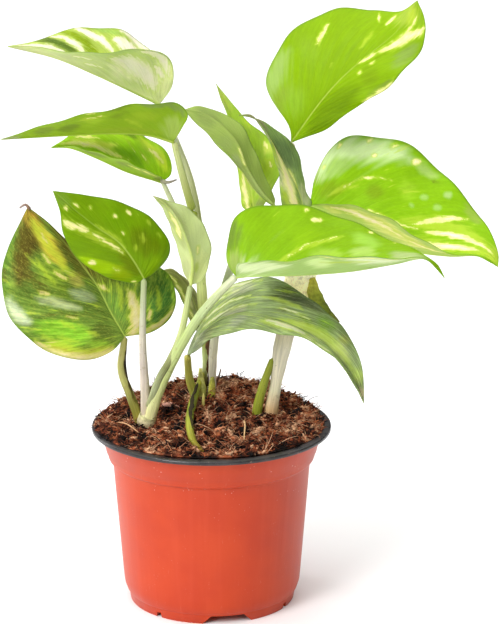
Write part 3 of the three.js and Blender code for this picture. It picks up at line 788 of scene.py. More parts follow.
            ((37, -78), (36.5, -76), 0.6), ((17, -82), (16.5, -78), 0.6), ((51, -92), (49.5, -86), 1.4),
            ((62, -28), (70, -53), (76, -78), 1.6), ((43, -20), (56, -20), (67, -27), 0.7),
            ((67, -27), (78, -42), (94, -60), 1.7), ((68, -10), (78, -18), (90, -30), 1.8),
            ((28, -33), (36, -50), (46, -56), 0.45), ((18, 45), (30, 50), (45, 48), (62, 45), 2.2),
            ((62, 45), (80, 40), 1.4),
        ],
        lime=[
            ((58, -25), (75, -50), (95, -60), 4.2), ((60, -10), (80, -20), (97, -30), 2.8),
            ((15, 50), (40, 50), (80, 50), 3.2), ((20, -25), (35, -40), 0.8),
        ],
        brown=[((59, -86), (58.5, -83), 0.5)],
        washes=[
            ((10, -80), (20, -90), 3.5, "#8aa448"),
            # The pale grey-green washes #bcd094, #98b85c and #9cba5a near the far margin are a painted sheen.
            ((14, -75), (22, -80), (35, -82), (48, -86), 6.5, "#bcd094"),
            ((20, -60), (28, -65), 4, "#98b85c"), ((50, -85), (58, -90), 3, "#9cba5a"),
            ((30, -35), (15, -30), 4, "#7c9e04"), ((42, -40), 4, "#78980a"),
            ((50, -65), (55, -50), 4, "#90ba20"), ((80, -88), (72, -95), 3, "#8aa636"),
            ((92, -85), (98, -50), 4, "#9cb830"), ((50, -20), (40, -12), 2, "#90b014"),
            ((66, -86), (65, -80), 1.6, "#a4c070"), ((60, -62), (59, -60), 1.5, "#98bc58"),
            ((66, -62), (65, -60), 1.5, "#98bc58"), ((58, -46), (57, -44), 1.4, "#98bc58"),
            ((70, -10), (80, -15), 2, "#8cac2a"), ((15, 30), (25, 30), 2, "#c2cf4c"),
            ((30, 60), (50, 50), (70, 50), 5, "#e0de78"), ((20, 95), (40, 95), (60, 95), 1.6, "#8cae1c"),
        ],
        look=dict(green="#80ae06", light="#a8cc38", under="#dce094", sprinkle=0.7, core="#f6e6cc"),
    ),
    "leaf_front_right": dict(
        rib=[
            (12, -36, 177), (24, -42, 179), (42, -48, 181), (66, -53, 184), (87, -55, 188), (101, -53, 190),
            (107, -52, 187), (111, -51, 180),
        ],
        left=[
            (8, -32, 183), (8, -28, 192), (11, -24, 202), (20, -20, 207), (34, -17, 208), (48, -16, 206),
            (63, -18, 202), (78, -24, 196), (92, -34, 192), (102, -44, 189),
        ],
        right=[
            (13, -46, 186), (24, -58, 190), (38, -66, 193), (56, -70, 196), (73, -70, 195), (89, -64, 193),
            (101, -58, 191),
        ],
        cream=[
            ((51, -82), (48, -78), 1.2), ((46, -93), (45.5, -90), 0.7), ((69, -95), (68, -90), 0.8),
            ((37, -12), (47, -38), (57.5, -58), 0.45), ((42, 92), (55, 80), (72, 82), (86, 70), 0.7),
            ((30, 95), (40, 90), 0.5), ((78, -95), (77.5, -90), 0.5),
        ],
        lime=[((34, -10), (47, -36), (60, -60), 1.1), ((50, 50), (70, 50), 1.2)],
        washes=[
            ((12, -80), (20, -90), 4, "#66802a"), ((12, -60), (10, -30), 4, "#8a9e4c"),
            ((50, -60), (45, -40), 6, "#80aa06"), ((50, -25), (60, -30), 4, "#94b63a"),
            ((65, -70), (72, -60), 5, "#92bc40"), ((65, -35), (72, -40), 4, "#9cba54"),
            ((80, -40), (90, 0), 4, "#9cae6c"), ((10, 50), (20, 50), (35, 50), 6, "#dce8b4"),
            ((50, 50), 5, "#c8e084"), ((60, 70), (80, 50), 5, "#d4deb0"),
        ],
        look=dict(green="#78a204", light="#a0c430", under="#d0e0ac", sprinkle=0.73),
    ),
    "leaf_drooping": dict(
        rib=[
            (-12, 6, 125), (-4, -4, 140), (10, -16, 152), (24, -27, 155), (38, -37, 153), (51, -46, 148),
            (61, -52, 139), (69, -56, 128), (73, -58, 120),
        ],
        left=[
            (-9, 10, 131), (-3, 8, 144), (5, 6, 156), (14, 2, 164), (25, -4, 168), (36, -11, 167),
            (50, -19, 160), (56, -28, 156), (63, -37, 153), (68, -45, 146), (72, -52, 137), (73, -56, 128),
        ],
        right=[
            (-9, -4, 129), (-2, -18, 139), (10, -32, 148), (24, -43, 152), (37, -52, 152), (49, -59, 150),
            (59, -63, 144), (65, -63, 135), (70, -61, 127),
        ],
        cream=[
            ((25, -95), (35, -90), (42, -88), 0.8), ((20, -28), (33, -35), (46, -46), 0.55),
            ((25, -10), (38, -13), (52, -25), 0.5), ((22, -60), (36, -70), 0.5), ((17, 12), (23, -4), 1),
            ((57, 45), (64, 60), (71, 80), 1.9), ((66, 92), (78, 90), 0.7), ((60, -35), (70, -45), 0.4),
        ],
        lime=[((60, 20), (75, -20), (90, -40), 2.4), ((55, 50), (72, 75), 2.6), ((50, -50), (64, -60), 1)],
        brown=[((100, 0), (93, -40), 1.2)],
        washes=[
            ((10, -50), (15, 0), 4, "#647336"), ((22, -50), 4, "#8d9c52"),
            ((30, -80), (42, -70), 4, "#a4ab86"), ((35, -35), 3, "#85925b"), ((52, -85), 4, "#77863f"),
            ((50, -50), 4, "#91a06c"), ((50, -15), (40, -10), 2.5, "#a0a484"),
            ((66, -90), (55, -75), (50, -62), 5, "#47541c"), ((60, -40), 4, "#798945"),
            ((70, -70), (76, -60), 4, "#779c30"), ((70, -35), 3, "#75912d"), ((72, -10), 3, "#97a468"),
            ((80, -75), 3, "#888f45"), ((85, -30), 4, "#afb87e"), ((92, -60), 3, "#9caf52"),
            ((97, -30), 2, "#cdbe95"), ((20, 50), (30, 60), 5, "#8e9863"), ((45, 50), 4, "#8c9477"),
            ((55, 65), 4, "#73864a"), ((65, 60), 3, "#9fb05f"), ((75, 50), 3, "#a9b37b"),
        ],
        # The greyed green partly paints a silvery sheen over the leaf's own green.
        look=dict(
            green="#80925a", light="#bcbca4", under="#9ca870", sprinkle=0.66, grain=0.22, speckle=0.16,
            shine=0.2, cream="#c8c8a8", core="#dccfaa",
        ),
    ),
}

COMMON_LOOK = dict(
    lime="#b2c638", dry=0.93, rib="#b4c658", grain=0.035, speckle=0.08, gloss=0.36, shine=0.07,
    cream="#e6e096", core="#ecdcb8",
)

# Leaf blades. RIB_LAG, BULGE, WAVE and WAVES give the middle surface that the CAD leaf has.

RIB_LAG = 1.5
BULGE = 0.06
WAVE = 0.03
WAVES = 5
CELL = 0.9
CROWDING = 1.15
FAR = 6.0
BLADE_HALF = 0.24
QUILT = 0.14
LEAN = 0.42
LEAN_POWER = 0.6
GROOVE = 0.3
GROOVE_WIDTH = 0.7
KEEL = 1.0
KEEL_AT_TIP = 0.12
KEEL_WIDTH = 0.85
FEATHER = (30, 3, 7.7)
STROKE_STEPS = 11


class Blade:
    """A leaf's middle surface: a grid of points from base to tip and from the left margin to the right."""

    def __init__(self, leaf):
        base, tip = leaf["rib"][0], leaf["rib"][-1]
        self.rib = Curve(leaf["rib"])
        self.margins = {sign: Curve([base, *leaf[side], tip]) for side, sign in (("left", -1), ("right", 1))}
        edges, from_rib = self.surface(np.linspace(0, 1, 41), np.array([-1.0, 1.0]))
        length = np.linalg.norm(np.diff(edges, axis=0), axis=-1).sum(axis=0).max()
        columns = np.linspace(-1, 1, 2 * round(from_rib.max() / CELL) + 1)
        self.share = np.linspace(0, 1, round(length / CELL) + 1)
        self.across = np.sign(columns) * np.abs(columns) ** CROWDING
        self.points, self.from_rib = self.surface(self.share, self.across)
        self.lane = self.share[:, None] - LEAN * np.abs(self.across) ** LEAN_POWER

    def surface(self, share, across):
        """Points at shares from base to tip and from rib to margin (left below 0), and how far the rib is."""
        rib = self.rib.at(share**RIB_LAG)[:, None]
        heading = self.rib.heading(share**RIB_LAG)[:, None]
        part = np.abs(across)[:, None]
        wave = WAVE * part**2 * np.sin(WAVES * TURN * share)[:, None, None]
        halves = {}
        for sign, margin in self.margins.items():
            out = margin.at(share)[:, None] - rib
            up = unit(sign * np.cross(out, heading))
            width = np.linalg.norm(out, axis=-1, keepdims=True)
            points = rib + out * part + up * width * (BULGE * 4 * part * (1 - part) + wave)
            halves[sign] = np.concatenate([points, width * part], -1)
        grid = np.where(across[:, None] < 0, halves[-1], halves[1])
        return grid[..., :3], grid[..., 3]

    def normals(self):
        """Upward unit normals, taken from the next rows where the grid closes to a point."""
        normals = np.cross(np.gradient(self.points, axis=1), np.gradient(self.points, axis=0))
        normals[0], normals[-1] = normals[1], normals[-2]
        return unit(normals)

    def heights(self):
        """How far the two faces stand off: quilted, with a groove over the rib and a keel under it."""
        part, left_over = np.abs(self.across), 1 - self.share[:, None]
        widest = self.from_rib.max(axis=1, keepdims=True)
        fade = smooth(0, 0.12, part) * (1 - part**3) * smooth(0, 8, widest)
        quilt = QUILT * (0.5 - 0.5 * np.cos(TURN * VEINS * self.lane)) * fade
        groove = GROOVE * left_over * ridge(self.from_rib, GROOVE_WIDTH)
        keel = (KEEL_AT_TIP + KEEL * left_over**1.4) * ridge(self.from_rib, KEEL_WIDTH)
        half = BLADE_HALF * (1 - 0.4 * part**6)
        return half + quilt - groove, half - 0.8 * quilt + keel

    def places(self, ends):
        """The points of the grid at even steps along a stroke."""
        ends = np.array(ends) / 100
        along, sideways = between(np.linspace(0, 1, STROKE_STEPS), np.linspace(0, 1, len(ends)), ends).T
        i = np.round(np.interp(along, self.share, np.arange(len(self.share)))).astype(int)
        j = np.round(np.interp(sideways, self.across, np.arange(len(self.across)))).astype(int)
        return self.points[i, j]

    def inside(self, ends, half_width):
        """How many millimetres each point lies inside a stroke that narrows to its ends, below 0 outside."""
        places = self.places(ends)
        inside = np.full(self.from_rib.shape, -FAR)
        for k, (start, way) in enumerate(zip(places, np.diff(places, axis=0))):
            along = np.clip((self.points - start) @ way / max(way @ way, 1e-9), 0, 1)
            gap = np.linalg.norm(self.points - start - along[..., None] * way, axis=-1)
            taper = np.sqrt(np.sin(math.pi * np.clip((k + along) / (len(places) - 1), 0.02, 0.98)))
            inside = np.maximum(inside, half_width * taper - gap)
        return inside

    def painted(self, strokes):
        """How far each point lies inside any of some strokes, less steeply for the wider ones."""
        inside = np.full(self.from_rib.shape, -FAR)
        for *ends, half_width in strokes:
            softness = max(half_width, 1) ** 0.5
            inside = np.maximum(inside, self.inside(ends, half_width) / softness)
        return inside

    def washed(self, green, washes):
        """The green of each point with some washes laid over it, feathered along the veins."""
        u, v, layer = FEATHER
        places = [[(u * lane, v * side, layer) for lane, side in zip(row, self.across)] for row in self.lane]
        feather = np.array([[noise.noise(Vector(place)) for place in row] for row in places])
        colour = np.tile(linear(green), (*self.from_rib.shape, 1))
        for *ends, half_width, code in washes:
            inside = self.inside(ends, half_width) + 0.7 * half_width * feather
            colour += smooth(-0.7 * half_width, 0.6 * half_width, inside)[..., None] * (linear(code) - colour)
        return colour


def blade(name, leaf, seed):
    """A leaf blade as a thin sheet of two faces that carry the leaf's markings."""
    grid = Blade(leaf)
    look = {**COMMON_LOOK, **leaf["look"]}
    paint = [grid.painted(leaf.get(kind, [])) for kind in ("cream", "lime", "brown")]
    markings = {
        "leaf": np.stack(np.broadcast_arrays(grid.lane, grid.across, grid.from_rib), -1),
        "paint": np.stack(paint, -1),
        "wash": grid.washed(look["green"], leaf["washes"]),
    }
    attributes = {key: np.tile(values.reshape(-1, 3), (2, 1)) for key, values in markings.items()}
    attributes["under"] = np.repeat([0.0, 1.0], grid.from_rib.size)
    normals = grid.normals()
    rise, drop = grid.heights()
    points = np.stack([grid.points + normals * rise[..., None], grid.points - normals * drop[..., None]])
    faces = sheet_faces(*grid.from_rib.shape, end_walls=False)
    material = blade_material(name, look, seed)
    thing = mesh_object(f"{name}_blade", points.reshape(-1, 3), faces, attributes, [material])
    weld(thing)
    settle(thing, [name])


# Shoots. A stalk's route is in millimetres, from the soil up, with its radii and colours spread evenly
# along it. A stalk that names a leaf ends at that leaf's base.

SHOOTS = {
    "shoot_left": [
        dict(
            route=[(-33, 2, 74), (-33, 0, 90), (-32, -1, 97)], radii=[4, 4.4, 3.6],
            colours=["#8a6a44", "#cdbd92", "#cfcb98"],
        ),
        dict(
            route=[(-33, 0, 90), (-33, -1, 104), (-34, -4, 136)], radii=[2.7, 2.4, 1.9, 1.6, 1.4],
            leaf="leaf_front_left",
            colours=["#d8c8a8", "#cfc3ae", "#c0b4a8", "#c2baa8", "#b4b898", "#a4b07c"],
        ),
        dict(
            route=[(-32, -1, 89), (-28, -4, 105), (-19, -12, 128), (-7, -21, 151), (1, -27, 163)],
            radii=[3.2, 2.8, 2.7, 2.4, 2.1, 1.8], leaf="leaf_front_right",
            colours=[
                "#e0d6a4", "#dce09c", "#c8d488", "#bccb84", "#b2c27c", "#b6c68c", "#c2cc9a", "#c6caaa",
            ],
        ),
        dict(
            route=[(-31, -2, 100), (-26, -9, 117), (-20, -13, 129), (-15, -12, 141)],
            radii=[2.2, 1.9, 1.8, 1.6, 1.4], leaf="leaf_small_pale",
            colours=["#a0a674", "#a4ac80", "#7c8050", "#b8c084", "#bcc684", "#a8b47a"],
        ),
        dict(
            route=[(-35, 2, 78), (-37, 2, 94), (-41, 3, 106), (-45, 4, 118)], radii=[2.4, 2.4, 2, 1.6],
            leaf="leaf_far_left",
            colours=["#8c7c34", "#98903c", "#85823a", "#a6a45e", "#a8a462", "#8c8a48"],
        ),
    ],
    "shoot_centre": [
        dict(
            route=[(-3, 25, 76), (-2, 25, 100), (-2, 25, 122), (-4, 24, 143), (-5, 23, 159), (-9, 20, 196)],
            radii=[3.2, 2.8, 2.6, 2.2],
            colours=[
                "#b8a868", "#d2c684", "#7c6434", "#b0bd7c", "#7a8416", "#969e50", "#d0da8c", "#bcca78",
                "#97a744", "#889634",
            ],
        ),
        dict(
            route=[(-9, 20, 196), (-13, 18, 211)], radii=[2.2, 1.9, 1.5], leaf="leaf_long_left",
            colours=["#8a9838", "#afb570", "#bdc684", "#ccd290"],
        ),
        dict(
            route=[(-4, 24, 143), (-5, 28, 179), (-10, 32, 209)], radii=[1.8, 1.6, 1.4],
            leaf="leaf_top_left", colours=["#98a04e", "#919a58", "#bfc294", "#e2e5c8"],
        ),
        dict(
            route=[(-6, 23, 172), (-14, 24, 188)], radii=[1.6, 1.4, 1.2], leaf="leaf_mid_left",
            colours=["#899a42", "#b4bd84", "#d8dcb8"],
        ),
        dict(
            route=[(-7, 22, 80), (-8, 21, 97), (-11, 16, 109)], radii=[2.2, 2.2, 1.7], leaf="leaf_drooping",
            colours=["#a0a03c", "#ccca62", "#bcbc5a", "#a8a24c"],
        ),
        dict(
            route=[(-3, 25, 104), (-2, 26, 118)], radii=[1.8, 1.4], leaf="leaf_narrow_back",
            colours=["#6a4a30", "#83905a", "#b0b490"],
        ),
        dict(
            route=[(1, 25, 80), (0, 24, 96), (1, 22, 122), (4, 21, 144), (11, 22, 169)],
            radii=[2.4, 2.3, 2, 1.6], leaf="leaf_upright_back",
            colours=["#c8b890", "#ece2d6", "#f0ead2", "#b0b68c", "#9baa77", "#c2c4a6", "#c9c993"],
        ),
        dict(
            route=[
                (-4, 22, 111), (-7, 16, 105), (-10, 2, 99), (-11, -14, 95), (-9, -30, 92), (-4, -44, 91),
            ],
            radii=[1.2, 2, 2, 1.8, 0.7],
            colours=["#b0ac44", "#98a02e", "#8a9428", "#a4a83c", "#8c8824", "#7a5c1a"],
        ),
        dict(
            route=[(-3, 12, 80), (-4, 10, 94), (-4, 9, 104)], radii=[1.2, 1.2, 0.6],
            colours=["#a08c50", "#d8cc78", "#e6dc80"],
        ),
    ],
    "shoot_right": [
        dict(
            route=[(30, 6, 74), (30, 5, 95), (32, 5, 108), (35, 5, 127), (38, 6, 140), (44, 8, 161)],
            radii=[3.8, 3.8, 2.8, 4.4, 5, 5],
            colours=[
                "#e8dcc4", "#f0e2c8", "#cfa878", "#dfd9b6", "#e8e0c4", "#dcd5bc", "#c9bf96", "#99a068",
                "#b8b070",
            ],
        ),
        dict(
            route=[(22, 4, 76), (23, 3, 97), (26, 3, 110), (31, 4, 124)], radii=[2.4, 2.6, 2.2, 1.6],
            colours=["#747c28", "#868f2a", "#949c32", "#8b9430"],
        ),
        dict(
            route=[(44, 8, 161), (47, 8, 176)], radii=[4.6, 3, 2], leaf="leaf_dark_centre",
            colours=["#c9c48c", "#b0b47a", "#8c9a58"],
        ),
        dict(
            route=[(44, 8, 161), (38, 8, 184)], radii=[3, 2, 1.5], leaf="leaf_arched_centre",
            colours=["#c0c084", "#b4bc74", "#b0ba70"],
        ),
        dict(
            route=[(45, 8, 164), (47, 16, 196), (43, 20, 219)], radii=[2.6, 1.8, 1.3],
            leaf="leaf_top_right",
            colours=["#a8a860", "#84925a", "#9ca283", "#dce2d2", "#cfd7b4", "#cfcd9b"],
        ),
        dict(
            route=[(45, 8, 164), (51, 10, 186)], radii=[3, 2.2, 1.8], leaf="leaf_right",
            colours=["#c0c284", "#b8c478", "#c8d08a"],
        ),
    ],
}

# Dry sheaths. Each is the papery remains of a leaf sheath: its route, its radii, its arc in degrees round the
# route, and its colours.

SHEATHS = {
    "far_left": (
        [
            (-36.6, 2, 91), (-38.8, 2, 98), (-41.2, 2.5, 105), (-43.6, 3, 112), (-44.8, 3.5, 120),
            (-43.6, 3, 132),
        ],
        [1.6, 2.3, 2.4, 2.2, 2.0, 1.4], (35, 120), ["#7c7430", "#6c6428", "#4c4020", "#2c2416", "#3a2a1c"],
    ),
    "left_base": (
        [(-32.8, -1, 91), (-32.4, -1.4, 93.5), (-31.8, -1.8, 96)], [4.6, 4.7, 4.1], (-170, 170),
        ["#b09a70", "#d2c69c", "#c4c28c"],
    ),
    "far_left_curl": (
        [(-89, 4, 201), (-91, 3, 203.4), (-93.8, 2, 202)], [0.7, 0.5, 0.3], (-150, 150),
        ["#8a6c50", "#8c7468", "#9c8c84"],
    ),
    "mid_left_spike": (
        [(-24.5, 23, 210.6), (-21.2, 21, 210.2), (-16.8, 20, 211.8)], [0.9, 0.6, 0.2], (-150, 150),
        ["#a4a484", "#948e7c", "#7c746c"],
    ),
    "centre_collar": (
        [(-5, 18, 92), (-5, 19, 103), (-5.5, 20, 114)], [2.6, 2.6, 0.6], (-110, 60),
        ["#98943e", "#b8b860", "#dcd884"],
    ),
    "centre_collar_right": (
        [(-1, 19, 92), (0, 20, 101), (0.5, 21, 109)], [2.0, 2.2, 0.8], (-70, 90),
        ["#a8a238", "#c8c24c", "#b8b858"],
    ),
    "centre_dark": (
        [(-3, 24, 104), (-3, 24, 112), (-3, 24, 122), (-4, 23, 132)], [2.8, 3.1, 3.0, 2.5], (10, 90),
        ["#3c2a1a", "#54381f", "#5c4028", "#7a5c40"],
    ),
    "strip_blade": (
        [(-6, 18, 106), (-8, 4, 101), (-9, -8, 97), (-9, -20, 94)], [1.6, 2.8, 2.6, 1.0], (28, 82),
        ["#2a2010", "#30280f", "#2a240e", "#3a3214"],
    ),
    "right_node": (
        [(40, 7, 149), (43, 7, 157), (45, 8, 168)], [5.6, 7.2, 7.6], (-110, 110),
        ["#d0c468", "#fcf0b4", "#fcf6d0"],
    ),
    "right_wing": (
        [(49.5, 4, 165), (51.5, 1, 157), (56, -4, 151), (63, -10, 146)], [2.2, 3.6, 2.6, 0.7], (-70, 100),
        ["#c4b84c", "#949838", "#6c7828", "#7c7a3c"],
    ),
}

ROD_SPACING = 1.4
ROD_END = 1.2
CHANNEL_WIDTH = 0.42
SHEATH_SPACING = 1.5
SHEATH_SIDES = 12
SHEATH_HALF = 0.16


def frames_along(heading):
    """Two directions across a route at each of its points, which turn as little as they can."""
    start = np.array([0.1, -1, 0.35])
    normals = []
    for way in heading:
        start = unit(start - way * np.dot(start, way))
        normals.append(start)
    return np.array(normals), np.cross(heading, normals)


def around(curve, share, angle, reach):
    """Points round a curve at shares of its length, with an angle and a distance from it for each point."""
    normals, binormals = frames_along(curve.heading(share))
    turn = np.broadcast_to(angle, reach.shape)[..., None]
    across = np.cos(turn) * normals[:, None] + np.sin(turn) * binormals[:, None]
    return (curve.at(share)[:, None] + across * reach[..., None]).reshape(-1, 3)


def rod(shape, route, radii, colours, sides=18, groove=0.13):
    """A fleshy stalk with a shallow channel along it and rounded ends."""
    curve = Curve(route)
    share = curve.steps(ROD_SPACING, 12)
    from_end = np.minimum(share, 1 - share) * curve.length
    rounding = np.sqrt(np.clip(1 - (1 - from_end / ROD_END).clip(0) ** 2, 0.05, 1))
    radius = spread(share, radii) * rounding * (1 + 0.02 * np.sin(share * curve.length * 0.6))
    angle = np.linspace(0, TURN, sides, endpoint=False)
    from_channel = (angle + math.pi) % TURN - math.pi
    ring = 1 - groove * ridge(from_channel, CHANNEL_WIDTH) + 0.015 * np.cos(5 * angle)
    points = around(curve, share, angle, np.outer(radius, ring))
    drawn = (share * curve.length * 0.06 + route[0][0])[:, None]
    grains = np.stack(np.broadcast_arrays(3.2 * np.cos(angle), 3.2 * np.sin(angle), drawn), -1)
    tints = np.repeat(blended(share, colours), sides, axis=0)
    shape.add(points, tube_faces(len(share), sides), tints, grains.reshape(-1, 3))


def shoot(name, stalks):
    shape = Shape()
    for stalk in stalks:
        ends = [LEAVES[stalk["leaf"]]["rib"][0]] if "leaf" in stalk else []
        rod(shape, [*stalk["route"], *ends], stalk["radii"], stalk["colours"])
    settle(shape.build(f"{name}_stalks", stalk_material(f"{name}_green")), [name])


def sheath(shape, route, radii, arc, colours, seed):
    """A thin curled shell along a route, open on one side, over an arc in degrees."""
    draw = random.Random(seed)
    phases = [draw.uniform(0, 6) for _ in range(3)]
    curve = Curve(route)
    share = curve.steps(SHEATH_SPACING, 10)
    low, high = np.radians(arc)
    ragged = 0.16 * np.sin(share * 17 + phases[0]) + 0.1 * np.sin(share * 41 + phases[1])
    angle = np.linspace(low + ragged, high - 0.7 * ragged, SHEATH_SIDES, axis=1)
    crinkle = 1 + 0.06 * np.sin(angle * 6 + share[:, None] * 23 + phases[2])
    reach = spread(share, radii)[:, None] * crinkle
    points = np.vstack([around(curve, share, angle, reach + off) for off in (SHEATH_HALF, -SHEATH_HALF)])
    tints = np.repeat(blended(share, colours), SHEATH_SIDES, axis=0)
    shape.add(points, sheet_faces(len(share), SHEATH_SIDES), np.tile(tints, (2, 1)))


def dry_sheaths():
    shape = Shape()
    for seed, row in enumerate(SHEATHS.values()):
        sheath(shape, *row, seed)
    settle(shape.build("dry_sheaths", matt_material("dry_sheath", 420.0, 0.35)), [])


# Soil, in millimetres. The bed has the CAD soil's form with clumps and hollows, under loose coir and chips.

POT_HEIGHT = 91
SOIL_LEVEL = 89
SOIL_MOUTH = 53.5
MOUND = {"x": 5, "y": 28, "height": 12, "area": 2 * 26**2}
HEAP = {"height": 3.2, "from": 42, "to": 54}
SPILL = {"all": 0.6, "left": 4.6, "right": 2.6, "back": 1.5}
PEAK = {"x": 17, "y": 30, "height": 3.2, "area": 45}
# A darker patch of coir on the left and a paler one in the middle.
DARK_PATCH = {"x": -40, "y": -4, "height": -0.22, "area": 320}
PALE_PATCH = {"x": 12, "y": 14, "height": 0.26, "area": 700}
SHOULDER = 8
BRINK = POT_HEIGHT + 0.3
SOIL_SIDE = [
    (53.5, 91.1), (53.5, 88.5), (51.9, 81.8), (50.2, 76.2), (48.1, 73.6), (43.4, 15), (42.5, 9.8),
    (40, 6.2),
]
BED_RINGS = 84
BED_SIDES = 232
GRID_HALF = 62
GRID_STEP = 0.62
CLODS = {"strength": 4.4, "scale": 0.16, "layer": 1.7}
CLOD_MIDDLE = 0.42
GRIT = {"strength": 0.9, "scale": 0.5, "layer": 3.1}
WAVES_OF_SOIL = {"strength": 1.6, "scale": 0.1, "layer": 5.5}
PATCHES = {"strength": 1.15, "scale": 0.16, "layer": 9.2}
FLECKS = {"strength": 0.6, "scale": 0.6, "layer": 4.4}
FIBRE_SAG = 1.8
FIBRE_BEND = 3.2
FIBRE_TAPER = 0.72
# COIR runs from near-black, the painted shade of the deepest hollows, to pale coir.
COIR = ["#100604", "#3e1c0e", "#823c22", "#b0663f", "#d2a27e"]
CHIP_ENDS = (-1, -0.35, 0.4, 1)
CHIP_CORNERS = ((-1, -1), (1, -1), (1, 1), (-1, 1))
CHIP_WOBBLE = 0.18


def soil_edge(x, y):
    """How far from the middle the soil ends, out over the rim, in the direction of a point."""
    reach = np.maximum(np.hypot(x, y), 1e-6)
    aside = np.where(x < 0, SPILL["left"], SPILL["right"]) * (x / reach) ** 2
    return SOIL_MOUTH + SPILL["all"] + aside + SPILL["back"] * np.maximum(0, y / reach) ** 3


def swell(spot, x, y):
    """A soft swelling round a spot, as high as its height in the middle."""
    return spot["height"] * np.exp(-((x - spot["x"]) ** 2 + (y - spot["y"]) ** 2) / spot["area"])


def soil_crown(x, y):
    """The height of the soil's smooth top, as the CAD soil has it inside its shoulder."""
    lumps = np.sin(x * 0.45 + 1.3) * np.cos(y * 0.5) + 0.7 * np.sin(x * 0.21 - y * 0.33 + 2)
    heap = HEAP["height"] * smooth(HEAP["from"], HEAP["to"], np.hypot(x, y))
    return SOIL_LEVEL + swell(MOUND, x, y) + lumps + heap


class Crumb:
    """The clumps of the soil: a height over its smooth top and a warmth of colour, both kept on a grid."""

    def __init__(self):
        self.axis = np.arange(-GRID_HALF, GRID_HALF + GRID_STEP, GRID_STEP)
        x, y = np.meshgrid(self.axis, self.axis)
        clods = self.field(lambda place: CLOD_MIDDLE - noise.voronoi(place)[0][0], **CLODS)
        grit = self.field(lambda place: noise.fractal(place, 0.7, 2.1, 4), **GRIT)
        self.heights = clods + grit + self.field(noise.noise, **WAVES_OF_SOIL) + swell(PEAK, x, y)
        colours = self.field(noise.noise, **PATCHES) + self.field(noise.noise, **FLECKS)
        self.warmths = 0.5 + colours + swell(DARK_PATCH, x, y) + swell(PALE_PATCH, x, y)

    def field(self, measure, strength, scale, layer):
        """A noise over the grid, at a scale and in a layer of its own."""
        places = [[(x * scale, y * scale, layer) for x in self.axis] for y in self.axis]
        return strength * np.array([[measure(Vector(place)) for place in row] for row in places])

    def look_up(self, table, x, y):
        """The value of a table at any place, drawn straight between the points of the grid."""
        column, row = (np.clip((v + GRID_HALF) / GRID_STEP, 0, len(self.axis) - 1.001) for v in (x, y))
        j, i = np.floor(column).astype(int), np.floor(row).astype(int)
        u, v = column - j, row - i
        low = table[i, j] * (1 - u) + table[i, j + 1] * u
        high = table[i + 1, j] * (1 - u) + table[i + 1, j + 1] * u
        return low * (1 - v) + high * v

    def ground(self, x, y):
        """The height of the soil's surface, which ends in a rounded shoulder on the pot's flat rim."""
        reach = np.hypot(x, y)
        crown = soil_crown(x, y) + self.look_up(self.heights, x, y)
        past = np.clip(1 - (soil_edge(x, y) - reach) / SHOULDER, 0, 1)
        height = BRINK + (crown - BRINK) * np.sqrt(1 - past**2)
        return np.where(reach > SOIL_MOUTH - 1, np.maximum(height, BRINK), height)

    def tint(self, x, y, lift):
        """Coir colours: painted shade darker in the hollows and paler on the clumps, darker and paler by
        patches, and paler with lift.
        """
        # The colour follows the clumps' height: painted shade in the hollows.
        share = self.look_up(self.warmths, x, y) + 0.13 * self.look_up(self.heights, x, y) + lift
        return blended(share, COIR)


def soil_bed(crumb):
    """The body of soil, down to the pot's floor."""
    angle = np.arange(BED_SIDES) * TURN / BED_SIDES
    edge = soil_edge(np.cos(angle), np.sin(angle))
    rings = [ring_at(edge * share, 0.0, angle) for share in np.linspace(0, 1, BED_RINGS + 1)]
    for ring in rings:
        ring[:, 2] = crumb.ground(ring[:, 0], ring[:, 1])
    side = [(edge, POT_HEIGHT + 0.1), *SOIL_SIDE, (0, SOIL_SIDE[-1][1])]
    rings += [ring_at(radius, z, angle) for radius, z in side]
    points, faces = lofted(rings, BED_SIDES, downwards=True)
    shape = Shape()
    # The bed, seen in the gaps under loose coir, is painted a step darker as shade.
    shape.add(points, faces, crumb.tint(points[:, 0], points[:, 1], -0.3))
    settle(shape.build("soil_bed", matt_material("soil_bed", 900.0, 0.5)), ["soil"])


def strands(starts, headings, lengths, radii, bends, steps):
    """Points and faces of many thin bent fibres with three sides, each thickest in its middle."""
    side = unit(np.cross(headings, (0.0, 0.0, 1.0)) + 1e-6)
    place, way = starts, headings
    rings = []
    for i in range(steps + 1):
        thin = (radii * (1 - FIBRE_TAPER * (2 * i / steps - 1) ** 2))[:, None]
        up = np.cross(side, way)
        turns = [k * TURN / 3 for k in range(3)]
        rings.append(np.stack([place + thin * (math.cos(t) * side + math.sin(t) * up) for t in turns], 1))
        fall = np.array([0.0, 0.0, FIBRE_SAG * (0.5 - i / steps)])
        way = unit(way + (side * bends[:, None] + fall) / steps)
        side = unit(side - way * (way * side).sum(-1, keepdims=True))
        place = place + way * (lengths / steps)[:, None]
    one, size = tube_faces(steps + 1, 3), (steps + 1) * 3
    faces = [[start + k for k in face] for start in range(0, len(starts) * size, size) for face in one]
    return np.stack(rings, 1).reshape(-1, 3), faces


